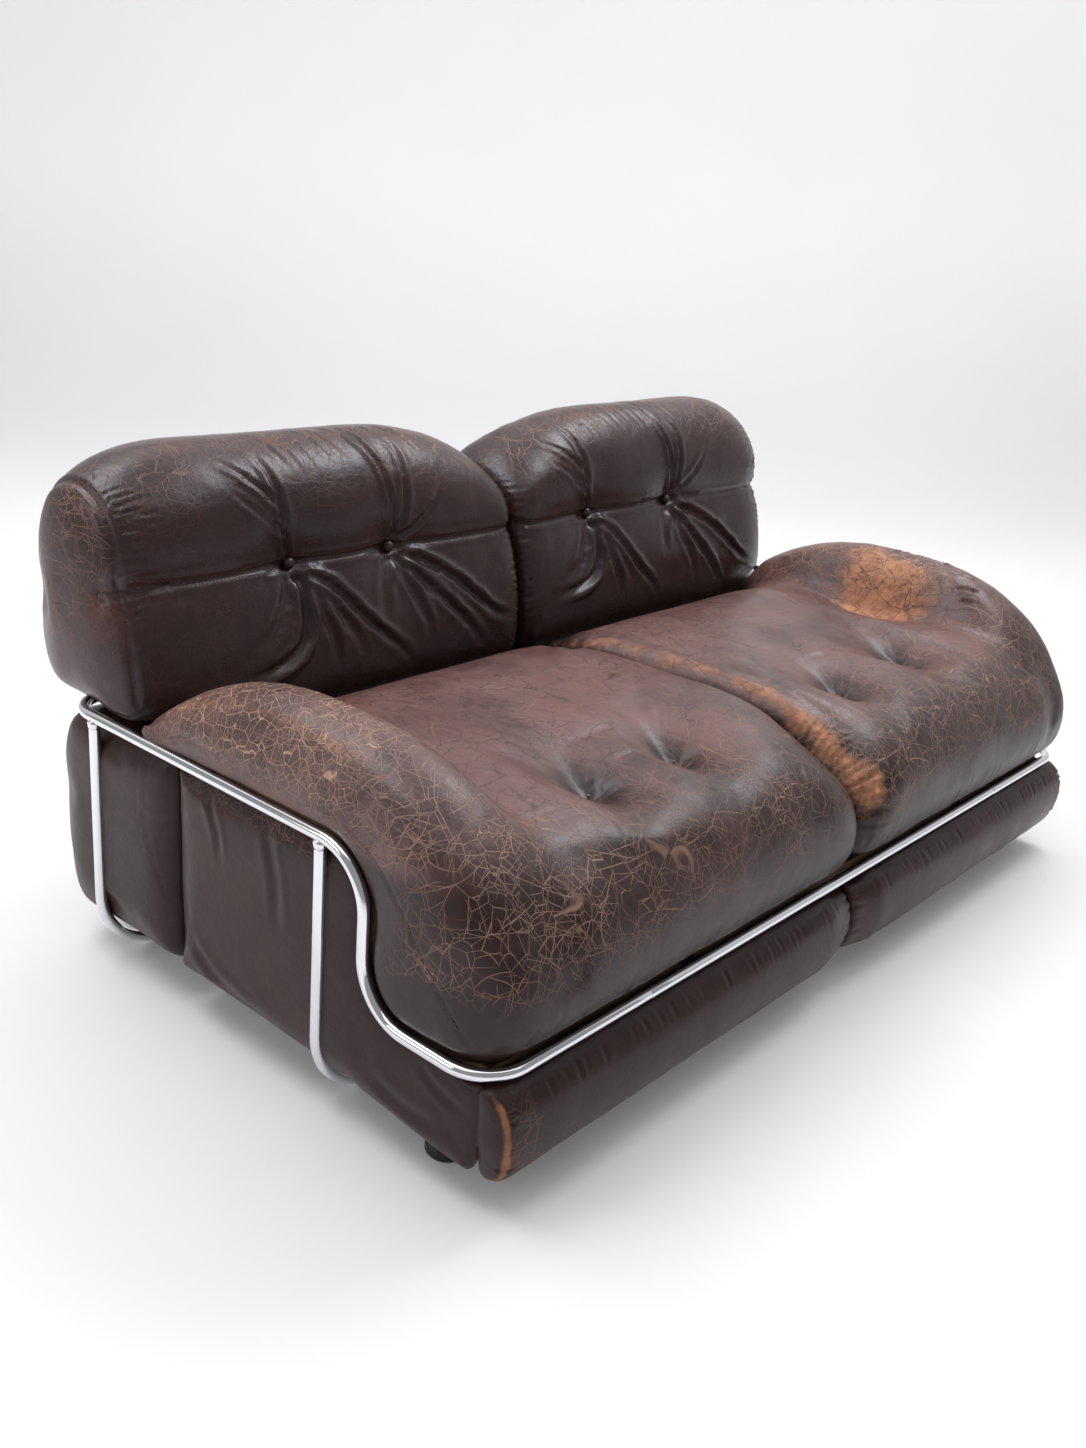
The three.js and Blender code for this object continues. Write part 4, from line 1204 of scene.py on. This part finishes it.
# ---- stitches ----
def stitches(name, piece, line, pitch=6.0, length=3.8, radius=0.55):
    """A row of short threads laid on a piece's surface along a line."""
    line = smooth_line(line, 400)
    count = int(np.linalg.norm(np.diff(line, axis=0), axis=1).sum() / pitch)
    line = even(line, count)
    verts, faces = [], []
    for a, b in zip(line, line[1:]):
        ends = []
        for at in (a, a + (b - a) * length / pitch):
            _, on, out, _ = piece.closest_point_on_mesh(Vector(at) * MM)
            ends.append((np.array(on) / MM, np.array(out)))
        along = ends[1][0] - ends[0][0]
        side = np.cross(along, ends[0][1])
        side /= max(np.linalg.norm(side), 1e-9)
        start = len(verts)
        for share, size in ((0, 0.5), (0.2, 1.0), (0.8, 1.0), (1, 0.5)):
            at = ends[0][0] + along * share
            out = ends[0][1] * (1 - share) + ends[1][1] * share
            for k in range(6):
                turn = math.pi * k / 3
                verts.append(at + out * 0.15 + radius * size * (math.cos(turn) * side + math.sin(turn) * out))
        for ring in range(3):
            for k in range(6):
                m = (k + 1) % 6
                i = start + ring * 6
                faces.append((i + k, i + m, i + 6 + m, i + 6 + k))
        faces.append(tuple(start + k for k in range(6)))
        faces.append(tuple(start + 18 + k for k in range(6)))
    return mesh_piece(name, verts, faces)


GUSSET = ((249, 392), (262, 450), (282, 513), (302, 591), (316, 650), (350, 690))
FLANK = ((-216, 396), (-274, 367), (-349, 289), (-404, 222))
for name, side in SIDES.items():
    back, seat = soft[f"back_cushion_{name}"][0], soft[f"seat_cushion_{name}"][0]
    for row, z in (("over", SEAM_Z + 6), ("under", SEAM_Z - 6)):
        line = [(side * x, SEAM_Y, z) for x in (24, 200, 380, 560, 732)]
        dress(stitches(f"stitches_{row}_{name}", back, line), THREAD, "leather_back")
    gusset = [(side * 735, y, z) for y, z in GUSSET]
    dress(stitches(f"stitches_gusset_{name}", back, gusset), THREAD, "leather_back")
    flank = [(side * 768, y + 4, z + 4) for y, z in FLANK]
    dress(stitches(f"stitches_flank_{name}", seat, flank), THREAD, "leather_seat")


# ---- buttons ----
BUTTON_R, PROFILE_R = 9.2, 12.6
# A button's section from its face to its back, as (radius, depth), drawn at PROFILE_R.
BUTTON_PROFILE = (
    (0, -8.6), (4, -8.3), (8, -7.0), (10.6, -4.9), (12.2, -2.4), (PROFILE_R, 0.2), (11.8, 2.0), (9.0, 3.2),
    (5, 4.0), (0, 4.0),
)


def button(name, x, y, z):
    """A leather-covered button: a flattened dome with a rolled rim, gathered behind."""
    rings = []
    for r, depth in BUTTON_PROFILE:
        ring = []
        for a in turns(32):
            wobble = 1 + 0.012 * math.sin(3 * a + x) + (0.01 * math.sin(11 * a) if depth > -4 else 0)
            out = r * BUTTON_R / PROFILE_R * wobble
            ring.append((x + out * math.cos(a), y + depth, z + out * math.sin(a)))
        rings.append(ring)
    piece = loft(name, rings, ends=False)
    bm = bmesh.new()
    bm.from_mesh(piece.data)
    bmesh.ops.remove_doubles(bm, verts=bm.verts, dist=1e-5)
    bmesh.ops.recalc_face_normals(bm, faces=bm.faces)
    bm.to_mesh(piece.data)
    bm.free()
    subdivide(piece)
    for key, value in (("wear", 0.12), ("crack", 0.2), ("scuff", 0.2)):
        set_attribute(piece, key, np.full(len(piece.data.vertices), value))
    return piece


for name in SIDES:
    for i in (1, 2):
        node = f"button_{name}_{i}"
        low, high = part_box(node)
        middle = (low + high) / 2 / MM
        dress(button(f"leather_{node}", middle.x, high.y / MM - 1, middle.z), BACK, "leather_back", node)
